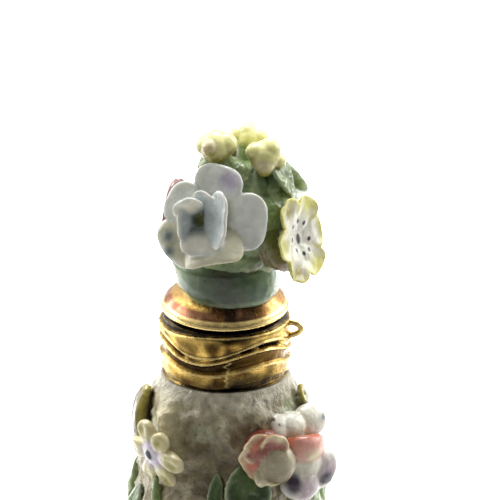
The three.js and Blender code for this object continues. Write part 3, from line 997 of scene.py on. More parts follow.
@dataclass
class FlaskFlowers:
    """The flowers, leaves and stems that encrust the flask."""

    trunk: Trunk

    def white_flower(self) -> bpy.types.Object:
        """The small flower at the left, with six finger-like petals.

        Returns:
            The finished piece, in metres.
        """
        place = Place(self.trunk.skin(-49, 42.25, 0.9), direction(-50, -14))
        clay = Sculpt()
        # painted shade: the olive heart darkens each petal's scoop
        petal = Petal(
            width=2.6, thick=1.9, lift=8, curl=-14, cup=0.2, base=0.6, square=0.32, scoop=0.28,
            throat=Paint.LILAC, body=Paint.STRAW, rim=Paint.CREAM,
            heart=Paint.OLIVE, heart_size=0.22,
        )
        fingers = ((-12, 3.7), (44, 3.3), (97, 4.6), (152, 4.4), (203, 5.0), (265, 3.6))
        clay.flower(petal, [{"turn": turn, "length": length} for turn, length in fingers], place)
        clay.ball(Vector((0, 0, 0.4)), (1.6, 1.9, 0.9), Paint.LILAC, Paint.LILAC, place)
        clay.ball(Vector((0, 0, 1.0)), (0.7, 0.9, 0.45), Paint.WHITE, Paint.WHITE, place)
        eye = Spot(0.1, 0, 0.55, Paint.NAVY, stretch=1.35, lowest=0.7)
        clay.marks.append(spots_on(place, [eye]))
        return clay.finish("white_flower", voxel=0.12, uneven=0.04)

    def striped_flower(self) -> bpy.types.Object:
        """The striped cream and orange flower in front.

        Returns:
            The finished piece, in metres.
        """
        place = Place(self.trunk.skin(27, 43.0, 0.8), direction(16, -4))
        petal = Petal(
            thick=1.4, square=0.34, ripple=0.12, throat=Paint.BISCUIT, body=Paint.RUST,
            rim=Paint.CREAM, rim_width=0.3, heart=Paint.ORANGE, back=Paint.ORANGE,
        )
        clay = Sculpt()
        rows = (
            dict(turn=-122, length=3.6, width=5.8, lift=34, curl=-50, cup=0.9),
            dict(turn=-48, length=3.6, width=4.2, lift=30, curl=-30, cup=0.7),
            dict(
                turn=170, length=4.4, width=4.8, lift=34, curl=-36, cup=0.7,
                heart=None, body=Paint.BISCUIT,
            ),
            dict(turn=20, length=3.8, width=3.6, lift=40, curl=-20, cup=0.6, heart=None),
        )
        clay.flower(petal, rows, place)
        clay.ball(Vector((-0.4, 0.6, -0.2)), (2.4, 2.4, 2.1), Paint.RUST, Paint.RUST, place)
        # painted shade: this bulge is clay-brown underneath and biscuit on top
        clay.ball(Vector((1.1, -1.3, 0.9)), (2.5, 2.7, 1.9), Paint.CLAY, Paint.BISCUIT, place)
        return clay.finish("striped_flower", voxel=0.12, uneven=0.05)

    def pansy(self) -> bpy.types.Object:
        """The pansy at the right, with its rolled pink petal and purple dabs.

        Returns:
            The finished piece, in metres.
        """
        place = Place(self.trunk.skin(52, 41.0, 1.3), direction(42, -2))
        petal = Petal(thick=2.0, square=0.38, rise=0.4, cup=-0.6, throat=Paint.BISCUIT)
        purple = dict(heart=Paint.MAUVE, heart_size=0.34)
        clay = Sculpt()
        rows = (
            dict(
                turn=10, length=4.0, width=6.2, thick=3.0, lift=48, curl=-60, cup=-1.2, square=0.25,
                throat=Paint.PINK, body=Paint.PINK, rim=Paint.ORANGE,
                heart=Paint.CREAM, heart_at=0.5, heart_size=0.16,
            ),
            dict(turn=122, length=5.6, width=5.6, lift=34, curl=-40, **purple),
            dict(turn=-168, length=5.2, width=6.6, lift=40, curl=-44, **purple),
        )
        clay.flower(petal, rows, place)
        # painted light and shade: the middle is clay-brown underneath and white on top
        clay.ball(Vector((0, -0.4, 0)), (3.1, 3.0, 2.8), Paint.CLAY, Paint.WHITE, place)
        dabs = [
            Spot(-2.6, -2.0, 1.0, Paint.PURPLE, stretch=1.3, soft=0.5),
            Spot(2.6, -2.6, 1.15, Paint.PURPLE, stretch=0.75, soft=0.5),
            Spot(-0.6, -3.4, 0.8, Paint.MAUVE, soft=0.7),
        ]
        clay.marks.append(spots_on(place, dabs))
        return clay.finish("pansy", voxel=0.13, uneven=0.05)

    def white_petals(self) -> bpy.types.Object:
        """The white petals over the pansy.

        Returns:
            The finished piece, in metres.
        """
        place = Place(self.trunk.skin(54, 44.75, 0.5), direction(44, 20))
        petal = Petal(square=0.32)
        clay = Sculpt()
        rows = (
            dict(
                turn=90, length=5.2, width=4.2, thick=2.2, lift=26, curl=-24, cup=-0.5,
                heart=Paint.BLUE_GREY, heart_at=0.86, heart_size=0.12,
            ),
            dict(turn=-82, length=3.6, width=3.8, thick=2.0, lift=20, curl=-30, cup=-0.4),
        )
        clay.flower(petal, rows, place)
        # the middle is pale green underneath, partly painted shade, and white on top
        clay.ball(Vector((0, 0, 0)), (2.6, 1.9, 1.9), Paint.PALE_LEAF, Paint.WHITE, place)
        return clay.finish("white_petals", voxel=0.13, uneven=0.05)

    def small_flowers(self) -> bpy.types.Object:
        """The plainer flowers at the sides, back and foot.

        Returns:
            The finished piece, in metres.
        """
        clay = Sculpt()
        kinds = (
            (Paint.STRAW, Paint.OLIVE),
            (Paint.OLIVE, Paint.MOSS),
            (Paint.BLUE_WASH, Paint.LEMON),
            (Paint.CREAM, Paint.PUCE),
        )
        table = (
            (-98, 41.5, 2.0, 5, 10),
            (80, 47.5, 1.4, 5, 0),
            (84, 45.25, 1.9, 5, 30),
            (-150, 43.5, 3.4, 5, 20),
            (172, 39.5, 4.0, 6, 0),
            (124, 37.5, 3.3, 5, 30),
            (4, 22.5, 3.3, 5, 12),
            (-72, 25.0, 3.0, 6, 0),
            (80, 21.0, 3.2, 5, 40),
            (-146, 23.0, 3.2, 5, 5),
            (150, 19.0, 3.0, 6, 15),
        )
        for index, (azimuth, z, radius, lobes, spin) in enumerate(table):
            body, middle = kinds[index % len(kinds)]
            place = replace(self.trunk.place(azimuth, z, 0.5), spin=spin)
            petal = Petal(
                length=radius * 0.82, width=radius * 1.05, thick=0.34 * radius + 0.3,
                lift=12, curl=16, cup=0.25, base=radius * 0.14, square=0.42,
                throat=middle, body=body, rim=body,
            )
            clay.flower(petal, even(lobes), place, rings=10)
            clay.ball(Vector((0, 0, 0.35)), 0.3 * radius, middle, middle, place, rings=10)
        return clay.finish("small_flowers", voxel=0.18, smooth=2, uneven=0.04)

    def foliage(self) -> bpy.types.Object:
        """The leaves and stems.

        Returns:
            The finished piece, in metres.
        """
        clay = Sculpt()
        shape = replace(LEAF_SHAPE, lift=16, curl=-14, cup=0.35, square=0.6, vein=0.28)
        table = (
            (13, 41.6, 178, 7.6, 6.0),
            (-5, 40.4, 184, 6.4, 2.0),
            (38, 35.0, 160, 6.6, 4.4),
            (70, 39.5, 172, 7.0, 5.0),
            (-22, 33.0, 186, 6.0, 3.6),
            (-74, 36.0, 176, 6.8, 3.6),
            (-118, 36.0, 185, 6.6, 3.8),
            (156, 31.0, 178, 6.6, 4.0),
            (106, 32.0, 172, 6.2, 3.8),
            (-170, 32.0, 184, 6.0, 3.6),
            (-24, 14.0, 8, 7.2, 4.0),
            (38, 13.0, -10, 7.4, 4.2),
            (100, 12.0, 6, 7.0, 3.8),
            (-105, 13.5, -6, 7.4, 4.0),
            (-178, 13.0, 10, 7.2, 4.0),
        )
        for azimuth, z, turn, length, width in table:
            # painted shade: the leaves high in the front middle take the darkest green
            tone = Paint.SHADED_LEAF if abs(azimuth) < 16 and z > 30 else Paint.LEAF
            leaf = replace(shape, turn=turn, length=length, width=width, body=tone)
            clay.petal(leaf, self.trunk.place(azimuth, z, 0.1), rings=24)
        # painted shade: the tall leaf's hollow face is clay-brown, darkening to moss at its base
        tall = replace(
            shape, turn=-4, length=8.4, width=5.0, lift=24, curl=-40, thick=2.2,
            body=Paint.CLAY, throat=Paint.MOSS, rim=Paint.OLIVE,
        )
        clay.petal(tall, self.trunk.place(-86, 40.0, 0.1), rings=18)
        stems = (
            (-50, 39, -40), (46, 36, 58), (4, 21, 14), (-102, 38, -120), (172, 37.5, 166),
            (124, 35, 116),
        )
        for above, z, foot in stems:
            path = []
            for step in range(7):
                t = step / 6
                azimuth = above + (foot - above) * t + 5 * math.sin(2 * math.pi * t)
                path.append(self.trunk.skin(azimuth, z + (3.6 - z) * t, 0.15))
            # painted shade: each stem is dark moss underneath and leaf green on top
            clay.rod(path, [0.8] * 7, Paint.MOSS, Paint.LEAF)
        return clay.finish("flask_foliage", voxel=0.18, smooth=2, uneven=0.1)


@dataclass(frozen=True)
class Wave:
    """A line round the band: its height, how far it swings, and where one crest is."""

    height: float
    swing: float
    crest: float
    count: int = 3

    def at(self, azimuth: float) -> float:
        """Its height at an azimuth."""
        turn = math.radians(self.count * (azimuth - self.crest))
        return self.height + self.swing * math.cos(turn)


@dataclass(frozen=True)
class NeckBand:
    """The gilt band, with three wavy ridges, two slits and a hollow."""

    foot: float = 50.12
    height: float = 7.4
    radius: float = 7.9
    inner: float = 7.0
    bore: float = 4.5
    lip_under: float = 6.5
    upper: Wave = Wave(5.15, 0.92, 39)
    middle: Wave = Wave(4.22, 0.78, 34)
    lower: Wave = Wave(2.42, 0.48, 36)
    edge: Wave = Wave(0.72, 0.42, 43)
    skin: float = 0.14
    hollow_depth: float = 0.3
    crease_depth: float = 0.16
    slit_depth: float = 0.5
    ridge_height: float = 0.26
    swell_height: float = 0.14
    seam_height: float = 0.1
    under_depth: float = 0.5
    notch_depth: float = 0.45

    def _worked(self, point: Vector) -> tuple[Vector, np.ndarray]:
        """Relief, paint, painted shade and dark reflection, and painted highlights at one point of
        the band.

        Args:
            point: the plain spun point.

        Returns:
            Its new place and its colour.
        """
        r, azimuth = polar(point)
        z = point.z
        up = Vector((0, 0, self.foot))
        if r < self.radius - 0.5:
            return point + up, paint(Paint.BRONZE_AND_SHADE)
        waves = (self.upper, self.middle, self.lower, self.edge)
        upper, middle, lower, edge = (wave.at(azimuth) for wave in waves)
        relief = self.skin
        # painted dark reflection: towards the front the band is darkened to bronze and, in
        # blotches, to black; the noise in worn is real wear
        front = bell(azimuth - 4, 40)
        worn = 0.2 + 0.6 * front + 0.9 * grain(point, 1.6, 3.0)
        colour = blend(paint(Paint.GOLD), Paint.BRONZE_AND_SHADE, worn)
        black = smoothstep(-0.3, 0.3, grain(point, 1.1, 7.0))
        colour = blend(colour, Paint.BLACK_PATINA_AND_SHADE, 0.6 * front * black)

        def line(at: float, width: float) -> float:
            """Nearness to a line round the band."""
            return bell(z - at, width)

        over_lower = smoothstep(lower + 0.05, lower + 0.5, z)
        hollow = smoothstep(middle - 0.1, middle - 0.5, z) * over_lower
        relief -= self.hollow_depth * hollow
        colour = blend(colour, Paint.BRONZE_AND_SHADE, 0.9 * hollow)
        # patina and painted shade: the hollow under the middle ridge is blackened at the left front
        deep = line(middle - 0.7, 0.5) * bell(azimuth + 22, 46)
        relief -= self.crease_depth * deep
        colour = blend(colour, Paint.BLACK_PATINA_AND_SHADE, 0.8 * deep)
        slit_at = 0.52 * upper + 0.48 * middle
        left = smoothstep(-34, -44, azimuth) * smoothstep(-112, -90, azimuth)
        right = smoothstep(30, 34, azimuth) * smoothstep(62, 54, azimuth)
        centre = smoothstep(12, 15, azimuth) * smoothstep(27, 22, azimuth)
        broken = smoothstep(0.05, 0.3, grain(direction(azimuth), 0.5, 1.0))
        back = 0.7 * broken * smoothstep(70, 95, abs(azimuth))
        open_here = max(left, right, 0.8 * centre, back)
        slit = line(slit_at, 0.22 + 0.12 * left) * open_here
        relief -= self.slit_depth * slit + self.crease_depth * line(slit_at, 0.35)
        # painted shade: the slits are painted black
        colour = blend(colour, Paint.BLACK_PATINA_AND_SHADE, 1.4 * slit)
        ridges = line(upper, 0.15) + line(middle, 0.16) + 0.6 * line(lower, 0.16)
        relief += self.ridge_height * ridges
        # painted highlight: the ridge crests are brightened
        colour = blend(colour, Paint.BRIGHT_GOLD, 0.85 * min(1.0, ridges))
        # painted shade: a thin dark line under the middle ridge
        colour = blend(colour, Paint.BLACK_PATINA_AND_SHADE, 0.5 * line(middle - 0.34, 0.14))
        over_ridge = smoothstep(upper + 0.2, upper + 0.9, z) * smoothstep(7.3, 6.7, z)
        relief += self.swell_height * over_ridge
        blister = bell(azimuth - 3, 8) * bell(z - 6.3, 0.55)
        relief += self.swell_height * blister
        seam_at = 1.6 + 5.0 * grain(Vector((0, 0, z)), 0.35, 6.0)
        seam = bell(azimuth - seam_at, 1.0) * smoothstep(4.3, 3.9, z) * smoothstep(0.2, 0.6, z)
        relief += self.seam_height * seam
        # painted highlight: the raised seam is brightened
        colour = blend(colour, Paint.BRIGHT_GOLD, 0.6 * seam)
        # painted dark reflection and patina: the low front of the band is blackened in blotches
        low = smoothstep(lower - 0.3, edge + 0.2, z) * front
        patina_and_shade_blotches = smoothstep(-0.9, 0.0, grain(point, 1.4, 11.0))
        colour = blend(colour, Paint.BLACK_PATINA_AND_SHADE, low * patina_and_shade_blotches)
        # painted shade: the recess under the lower edge is painted black
        under = smoothstep(edge + 0.1, edge - 0.15, z)
        relief -= self.under_depth * under
        colour = blend(colour, Paint.BLACK_PATINA_AND_SHADE, 0.7 * under)
        # painted shade and patina: the groove at the top of the band is painted black
        top = 7.2 - 0.55 * bell(azimuth + 62, 36)
        notched = smoothstep(top - 0.08, top + 0.12, z)
        relief -= self.notch_depth * notched
        colour = blend(colour, Paint.BLACK_PATINA_AND_SHADE, 0.95 * notched)
        # painted highlight: a bright line just under the top groove
        colour = blend(colour, Paint.BRIGHT_GOLD, 0.7 * line(top - 0.15, 0.09))
        relief += 0.05 * grain(point, 0.9) + 0.09 * grain(point, 2.6, 8.0)
        fade = smoothstep(0.0, 0.3, z)
        out = self.radius + relief * fade
        moved = Vector((point.x / r * out, point.y / r * out, z)) + up
        return moved, colour

    def build(self) -> bpy.types.Object:
        """Spins the band and works its relief.

        Returns:
            The finished piece, in metres.
        """
        wall = [(self.radius, self.height * i / 84) for i in range(85)]
        profile = [
            (self.inner, 0.0),
            *wall,
            (self.bore, self.height),
            (self.bore, self.lip_under),
            (self.inner, self.lip_under),
            (self.inner, 0.0),
        ]
        return turned("neck_band", profile, steps=300, shape=self._worked)


@dataclass(frozen=True)
class ChainLoop:
    """The bent wire eye on the band's right side."""

    wire: float = 0.38
    reach: float = 1.35
    half_width: float = 0.95
    turn: float = 82.0
    start: float = 8.2
    middle: float = 55.92

    def build(self) -> bpy.types.Object:
        """Bends the wire.

        Returns:
            The finished piece, in metres.
        """
        out = direction(self.turn)
        bends = (
            (-0.35, 1.0), (0.3, 0.92), (0.8, 0.6), (1.0, 0.05), (0.86, -0.35), (0.4, -0.75),
            (-0.35, -1.0),
        )
        curve = bpy.data.curves.new("chain_loop_wire", "CURVE")
        curve.dimensions = "3D"
        curve.bevel_depth = self.wire
        curve.bevel_resolution = 6
        curve.resolution_u = 10
        curve.use_fill_caps = True
        spline = curve.splines.new("NURBS")
        spline.points.add(len(bends) - 1)
        for point, (reach, rise) in zip(spline.points, bends):
            at = out * (self.start + reach * self.reach)
            point.co = (at.x, at.y, self.middle + rise * self.half_width, 1.0)
        spline.use_endpoint_u = True
        spline.order_u = 3
        mesh = as_seen(stand("chain_loop_wire", curve))
        skin = mesh.color_attributes.new("paint", "FLOAT_COLOR", "POINT")
        for vert, shade in zip(mesh.vertices, skin.data):
            colour = blend(paint(Paint.BRIGHT_GOLD), Paint.BRONZE_AND_SHADE, 0.35 + 0.6 * grain(vert.co, 0.8))
            shade.color = (*colour, 1.0)
        return as_piece("wire_eye", mesh)


@dataclass(frozen=True)
class StopperMount:
    """The coppery dome under the stopper, with its rim, groove and plug."""

    foot: float = 57.64
    groove_radius: float = 7.3
    groove: float = 1.0
    rim: float = 0.4
    radius: float = 7.9
    top_radius: float = 5.2
    height: float = 2.2
    lean: float = 4.0
    plug: float = 4.15
    plug_length: float = 6.5

    @property
    def rim_foot(self) -> float:
        """Height of the rim's lower edge."""
        return self.foot + self.groove

    @property
    def top(self) -> float:
        """Height of the dome's top."""
        return self.rim_foot + self.rim + self.height

    def _worked(self, point: Vector) -> tuple[Vector, np.ndarray]:
        """Lean, wear, paint, painted dark reflection and painted highlights at one point.

        Args:
            point: the plain spun point.

        Returns:
            Its new place and its colour.
        """
        r, azimuth = polar(point)
        z = point.z
        moved = point.copy()
        if z > self.rim_foot - 0.001:
            moved.z += point.y * math.tan(math.radians(self.lean))
        # painted shade and patina: the groove and the plug under the rim are painted black
        if z < self.rim_foot + 0.001:
            return moved, paint(Paint.BLACK_PATINA_AND_SHADE)
        wear = grain(point, 1.4, 3.0)
        colour = blend(paint(Paint.COPPER), Paint.RED_COPPER, 0.45 + 1.1 * wear)
        # painted dark reflection: towards the front the dome is darkened to bronze and, in
        # blotches, to black
        front = bell(azimuth - 8, 42)
        colour = blend(colour, Paint.BRONZE_AND_SHADE, 0.8 * front)
        black = smoothstep(-0.7, 0.1, grain(point, 1.2, 9.0))
        colour = blend(colour, Paint.BLACK_PATINA_AND_SHADE, 0.85 * front * black)
        right = smoothstep(25, 60, azimuth) * smoothstep(140, 90, azimuth)
        colour = blend(colour, Paint.GOLD, 0.35 * right)
        # painted highlight: a gold lip round the foot at the left
        near_foot = smoothstep(6.9, 6.5, r)
        colour = blend(colour, Paint.GOLD, 0.6 * near_foot * smoothstep(-10, -30, azimuth))
        # painted highlight on the gilt rim, brightened to pale gold
        rim = smoothstep(7.45, 7.6, r)
        colour = blend(colour, Paint.BRIGHT_GOLD, 0.9 * rim)
        if r > 5.0:
            swell = 1 + (0.06 * grain(point, 1.8, 5.0) + 0.03 * wear) / r
            moved.x *= swell
            moved.y *= swell
            moved.z += 0.05 * grain(point, 2.2, 7.0)
        return moved, colour

    def build(self) -> bpy.types.Object:
        """Spins the mount and wears its dome.

        Returns:
            The finished piece, in metres.
        """
        dome = self.rim_foot + self.rim
        arc = []
        for i in range(33):
            t = i / 32
            inward = (1 - t + math.cos(math.pi / 2 * t)) / 2
            rise = (t + math.sin(math.pi / 2 * t)) / 2
            out = self.top_radius + (self.radius - self.top_radius) * inward
            arc.append((out, dome + self.height * rise))
        rim = [
            (self.radius - 0.12, self.rim_foot),
            (self.radius, self.rim_foot + 0.08),
            (self.radius + 0.02, self.rim_foot + 0.2),
            (self.radius, dome - 0.06),
            (self.radius - 0.2, dome + 0.03),
        ]
        profile = [
            (0.0, self.foot - self.plug_length),
            (self.plug - 0.3, self.foot - self.plug_length),
            (self.plug, self.foot),
            (self.groove_radius, self.foot),
            (self.groove_radius, self.rim_foot),
            *rim,
            *arc[3:],
            (0.0, self.top),
        ]
        return turned("stopper_collar", profile, steps=240, shape=self._worked)


@dataclass
class Bouquet:
    """The porcelain stopper: a green foot with a bouquet of flowers, buds and leaves."""

    mount: StopperMount
    heart_radii: tuple[float, float, float] = (7.2, 6.6, 7.2)
    heart: Vector = field(default_factory=lambda: Vector((2.2, 0.5, 70.44)))
    foot_radius: float = 6.35
    foot_height: float = 3.4
    foot_sink: float = 0.55
    foot_shift: float = 0.8

    def on_heart(self, azimuth: float, elevation: float, distance: float) -> Vector:
        """A point by its direction and distance from the bouquet's middle."""
        return self.heart + direction(azimuth, elevation) * distance

    def foot(self) -> bpy.types.Object:
        """The green drum that the bouquet stands on.

        Returns:
            The finished piece, in metres.
        """
        start = 0.16 - self.foot_sink
        profile = [(0.0, -self.foot_sink), (self.foot_radius * 0.93, -self.foot_sink)]
        for i in range(25):
            t = i / 24
            bulge = 1.0 - 0.05 * (1 - t) ** 3 + 0.02 * math.sin(math.pi * t)
            profile.append((self.foot_radius * bulge, start + (self.foot_height - start) * t))
        profile += [(self.foot_radius * 0.8, self.foot_height * 1.4), (0.0, self.foot_height * 1.6)]
        return turned("bouquet_foot", profile, steps=200, shape=self._foot_worked)

    def _foot_worked(self, point: Vector) -> tuple[Vector, np.ndarray]:
        """Lean, shift, glaze colour and painted shade at one point of the foot.

        Args:
            point: the plain spun point.

        Returns:
            Its new place and its colour.
        """
        low = max(0.0, 1 - point.z / self.foot_height)
        r = math.hypot(point.x, point.y)
        edge = smoothstep(0.45, -0.35, point.z)
        moved = Vector((point.x, point.y, point.z + self.mount.top))
        if r > 2.0:
            swell = 1 + (0.10 * grain(point, 2.6, 3.0) + 0.05 * grain(point, 0.8)) / r
            moved.x *= swell
            moved.y *= swell
        moved.x += self.foot_shift * (min(1.0, low) - 0.3)
        moved.z += point.y * math.tan(math.radians(self.mount.lean)) * min(1.0, low)
        if edge > 0.5:
            moved.z += 0.07 * grain(point, 1.1, 5.0)
        tint = blend(paint(Paint.SEA_GREEN), Paint.LEAF, 0.4 + 0.8 * grain(point, 2.2, 2.0))
        # painted shade: the front of the foot is darkened to deep green, with near-black streaks
        front = bell(math.atan2(moved.x, -moved.y), 0.75)
        tint = blend(tint, Paint.SHADED_LEAF, 0.95 * front)
        streak = smoothstep(-0.4, 0.3, grain(Vector((point.x, point.y, 3 * point.z)), 2.4))
        tint = blend(tint, Paint.DIRT_AND_SHADE, 0.4 * front * streak)
        tint = blend(tint, Paint.PALE_LEAF, 0.75 * edge)
        return moved, tint

    def mound(self) -> bpy.types.Object:
        """The leafy middle, with its leaves and the flowers at its back.

        Returns:
            The finished piece, in metres.
        """
        clay = Sculpt()
        # painted shade: the heart is dark green underneath and leaf green on top
        clay.ball(self.heart, self.heart_radii, Paint.DARK_LEAF, Paint.LEAF, rings=40)
        clay.ball(Vector((0.6, 0.0, 66.0)), (6.3, 6.0, 3.4), Paint.LEAF, Paint.DARK_LEAF, rings=30)
        leaf = replace(LEAF_SHAPE, lift=8, curl=-26, cup=0.4, square=0.55, vein=0.25)
        table = (
            (-92, 46, 7.9, -12, 2.9, 3.2, Paint.LICHEN),
            (78, 26, 7.2, -22, 6.2, 5.2, Paint.LEAF),
            (30, -34, 7.0, 200, 4.2, 4.0, Paint.CLAY),
            (120, -14, 6.8, 170, 5.0, 3.8, Paint.LEAF),
            (-150, -20, 6.4, 190, 5.0, 3.8, Paint.LEAF),
            (30, 34, 6.6, 20, 5.0, 3.6, Paint.DARK_LEAF),
            (4, 42, 6.5, -20, 4.6, 3.4, Paint.DARK_LEAF),
        )
        for azimuth, elevation, distance, turn, length, width, tone in table:
            at = self.on_heart(azimuth, elevation, distance)
            place = Place(at, direction(azimuth, elevation))
            clay.petal(replace(leaf, turn=turn, length=length, width=width, body=tone), place)
        clay.marks.append(self._leaf_wash)
        return clay.finish("leafy_mound", voxel=0.17, uneven=0.16)

    def _leaf_wash(self, points: np.ndarray, colours: np.ndarray) -> np.ndarray:
        """Lets the mound's green vary."""
        cloud = np.array([grain(Vector(point), 2.0, 3.0) for point in points.tolist()])
        return blends(colours, Paint.LICHEN, 0.1 + 0.6 * smoothsteps(-0.1, 0.4, cloud))

    def back_flowers(self) -> bpy.types.Object:
        """The flowers that the rose hides, and those at the back.

        Returns:
            The finished piece, in metres.
        """
        clay = Sculpt()
        table = (
            (-108, -3, 8.2, 4.4, 5, 20, Paint.PUCE, Paint.PINK),
            (168, 4, 6.6, 4.6, 6, 0, Paint.WHITE, Paint.LEMON),
            (-160, 44, 7.2, 3.2, 5, 10, Paint.PUCE, Paint.PALE_YELLOW),
            (122, 28, 7.4, 3.2, 5, 30, Paint.PALE_LEAF, Paint.LEMON),
        )
        for azimuth, elevation, distance, radius, lobes, spin, body, middle in table:
            at = self.on_heart(azimuth, elevation, distance)
            place = Place(at, direction(azimuth, elevation + 6), spin)
            petal = Petal(
                length=radius * 0.84, width=radius * 1.0, thick=1.3, lift=6, curl=14, cup=0.3,
                base=radius * 0.12, square=0.42, throat=middle, body=body, rim=body,
            )
            clay.flower(petal, even(lobes), place, rings=18)
            clay.ball(Vector((0, 0, 0.4)), 0.26 * radius, middle, Paint.LEMON, place, rings=10)
        return clay.finish("back_flowers", voxel=0.16, uneven=0.05)

    def rose(self) -> bpy.types.Object:
        """The white rose in front.

        Returns:
            The finished piece, in metres.
        """
        place = Place(self.on_heart(-32, 14, 7.8), direction(-14, 14))
        middle = Place(self.on_heart(-38, 11, 8.2), direction(-14, 12))
        # painted shade: the outer petals darken to clay at their bases, where they tuck under the
        # inner ones
        outer = Petal(
            thick=1.4, lift=6, curl=10, cup=0.3, base=0.6, square=0.32, widest=0.64, ripple=0.1,
            throat=Paint.CLAY, body=Paint.PEARL, rim=Paint.PEARL,
        )
        inner = Petal(
            thick=1.0, cup=0.5, base=0.55, square=0.24, widest=0.62, roll=10, ripple=0.08,
            throat=Paint.BLUE_GREY, body=Paint.BLUE_WASH, rim=Paint.PEARL, back=Paint.PEARL,
        )
        clay = Sculpt()
        wide = (
            dict(turn=12, length=6.0, width=6.2, lift=2, curl=-4),
            dict(turn=-66, length=5.2, width=5.6),
            # painted shade: the two lower outer petals are a darker, shaded pearl
            dict(turn=-136, length=6.6, width=7.0, lift=24, curl=-30, cup=-0.6, body=Paint.SHADED_PEARL),
            dict(
                turn=166, length=5.9, width=7.6, square=0.14, lift=16, curl=30, cup=-0.5,
                widest=0.7, ripple=0, body=Paint.SHADED_PEARL, rim=Paint.SHADED_PEARL,
            ),
            dict(turn=92, length=6.6, width=7.2, lift=4, curl=-10),
        )
        clay.flower(outer, wide, place, rings=28)
        close = (
            dict(
                turn=82, length=4.6, width=7.2, lift=16, curl=48, rise=1.1,
                throat=Paint.BLUE_WASH,
            ),
            dict(
                turn=-36, length=3.7, width=4.0, lift=34, curl=20, rise=0.9, square=0.42,
                body=Paint.WHITE,
            ),
            dict(turn=-102, length=3.0, width=5.0, lift=28, curl=50, rise=0.7),
            dict(turn=168, length=4.1, width=5.4, lift=8, curl=34, rise=1.1, body=Paint.WHITE),
            dict(turn=24, length=3.5, width=4.2, lift=14, curl=34, rise=0.3),
        )
        clay.flower(inner, close, middle, rings=28)
        clay.ball(Vector((0, 0, -0.5)), (3.5, 3.5, 1.3), Paint.CREAM, Paint.CREAM, middle)
        dabs = [
            Spot(-4.7, -2.6, 0.8, Paint.BLUE_GREY, soft=0.95, lowest=-3.0),
            Spot(-4.4, -4.4, 0.6, Paint.BLUE_GREY, soft=0.95, lowest=-3.0),
            Spot(2.3, 4.6, 1.1, Paint.LILAC, soft=0.8, lowest=-3.0),
        ]
        clay.marks.append(spots_on(place, dabs))
        # painted shade: a dark moss dab in the rose's hollow middle
        hollow = Spot(-0.1, 0, 0.55, Paint.MOSS, stretch=1.5, soft=0.6, lowest=-1.0)
        clay.marks.append(spots_on(middle, [hollow]))
        return clay.finish("rose", voxel=0.11, smooth=2, uneven=0.05)

    def trumpet(self) -> bpy.types.Object:
        """The lemon-edged flower at the right, with its ring of purple dots.

        Returns:
            The finished piece, in metres.
        """
        place = Place(self.on_heart(57, -13, 7.8), direction(55, 12), 6)
        petal = Petal(
            length=4.7, width=4.1, thick=1.1, lift=8, curl=14, cup=0.5, base=0.4, square=0.28,
            widest=0.7, scoop=0.4, ripple=0.12, throat=Paint.WHITE, body=Paint.WHITE,
            rim=Paint.LEMON, rim_width=0.36, heart_at=0.82, heart_size=0.24, back=Paint.LEMON,
        )
        clay = Sculpt()
        # painted shade: the olive hearts on the two left lobes darken their scoops; the lemon
        # hearts are the flower's own colour
        lobes = (
            (-32, 5.5, Paint.OLIVE),
            (24, 5.2, Paint.LEMON),
            (82, 4.2, None),
            (146, 5.1, Paint.LEMON),
            (-158, 5.3, Paint.OLIVE),
            (-96, 4.4, Paint.LEMON),
        )
        for turn, length, heart in lobes:
            clay.petal(replace(petal, turn=turn, length=length, heart=heart), place, rings=26)
        clay.ball(Vector((0, 0, -0.1)), (2.6, 2.6, 0.6), Paint.WHITE, Paint.WHITE, place)
        for step in range(6):
            t = step / 5
            radius = 4.1 - 1.0 * t
            throat = Vector((-0.9 * t, 0.2 * t, -1.6 - 3.4 * t))
            clay.ball(throat, (radius, radius, 1.2), Paint.CLAY, Paint.MOSS, place)
        ring = [
            (-1.2, 1.7), (-0.1, 2.2), (1.0, 1.8), (-1.5, 0.1), (-0.8, -1.3), (0.5, -1.9),
            (1.5, -1.6), (1.8, -0.3),
        ]
        dots = [Spot(x, y, 0.26, Paint.PURPLE, stretch=1.1, lowest=-0.2) for x, y in ring]
        dots.append(Spot(0.0, 0.0, 0.42, Paint.PURPLE, stretch=1.6, lowest=-0.2))
        clay.marks.append(spots_on(place, dots))
        return clay.finish("trumpet_flower", voxel=0.12, uneven=0.05)

    def buds(self) -> bpy.types.Object:
        """The three yellow buds on top, on their thick stalks.

        Returns:
            The finished piece, in metres.
        """
        clay = Sculpt()
        table = (
            (
                Place(self.on_heart(-49, 66, 10.7), direction(-6, 4)),
                self.on_heart(-52, 62, 5),
                (
                    (0, -0.1, 0, 2.05), (-1.2, 0.1, 0, 1.3), (1.2, 0.3, 0, 1.45),
                    (0.1, 0.7, -0.2, 1.4), (-0.6, 0.2, 1.5, 1.0),
                ),
            ),
            (
                Place(self.on_heart(155, 80, 9.6), direction(176, 20)),
                self.on_heart(140, 75, 5),
                (
                    (0, -0.4, 0, 1.75), (1.3, 0.1, 0.2, 1.15), (0.2, 0.4, 0.3, 1.2),
                    (-1.3, -0.1, 0, 1.15), (0, 0.2, 1.2, 1.0),
                ),
            ),
            (
                Place(self.on_heart(46, 66, 9.2), direction(6, -4)),
                self.on_heart(60, 62, 5),
                (
                    (0, 0, 0, 2.0), (-1.2, 0.7, 0.2, 1.2), (0.6, 1.0, 0.1, 1.4),
                    (1.4, -0.6, 0.1, 1.2), (-0.2, -0.9, 1.2, 1.2),
                ),
            ),
        )
        for place, root, balls in table:
            for right, up, out, radius in balls:
                # painted highlight and shade: each bud ball is olive underneath and cream or yellow
                # on top
                lit_top = Paint.CREAM if out > 1.0 else Paint.BUD_YELLOW
                clay.ball(Vector((right, up, out)), radius, Paint.OLIVE, lit_top, place)
            stalk = [root, root.lerp(place.at, 0.5), place.at]
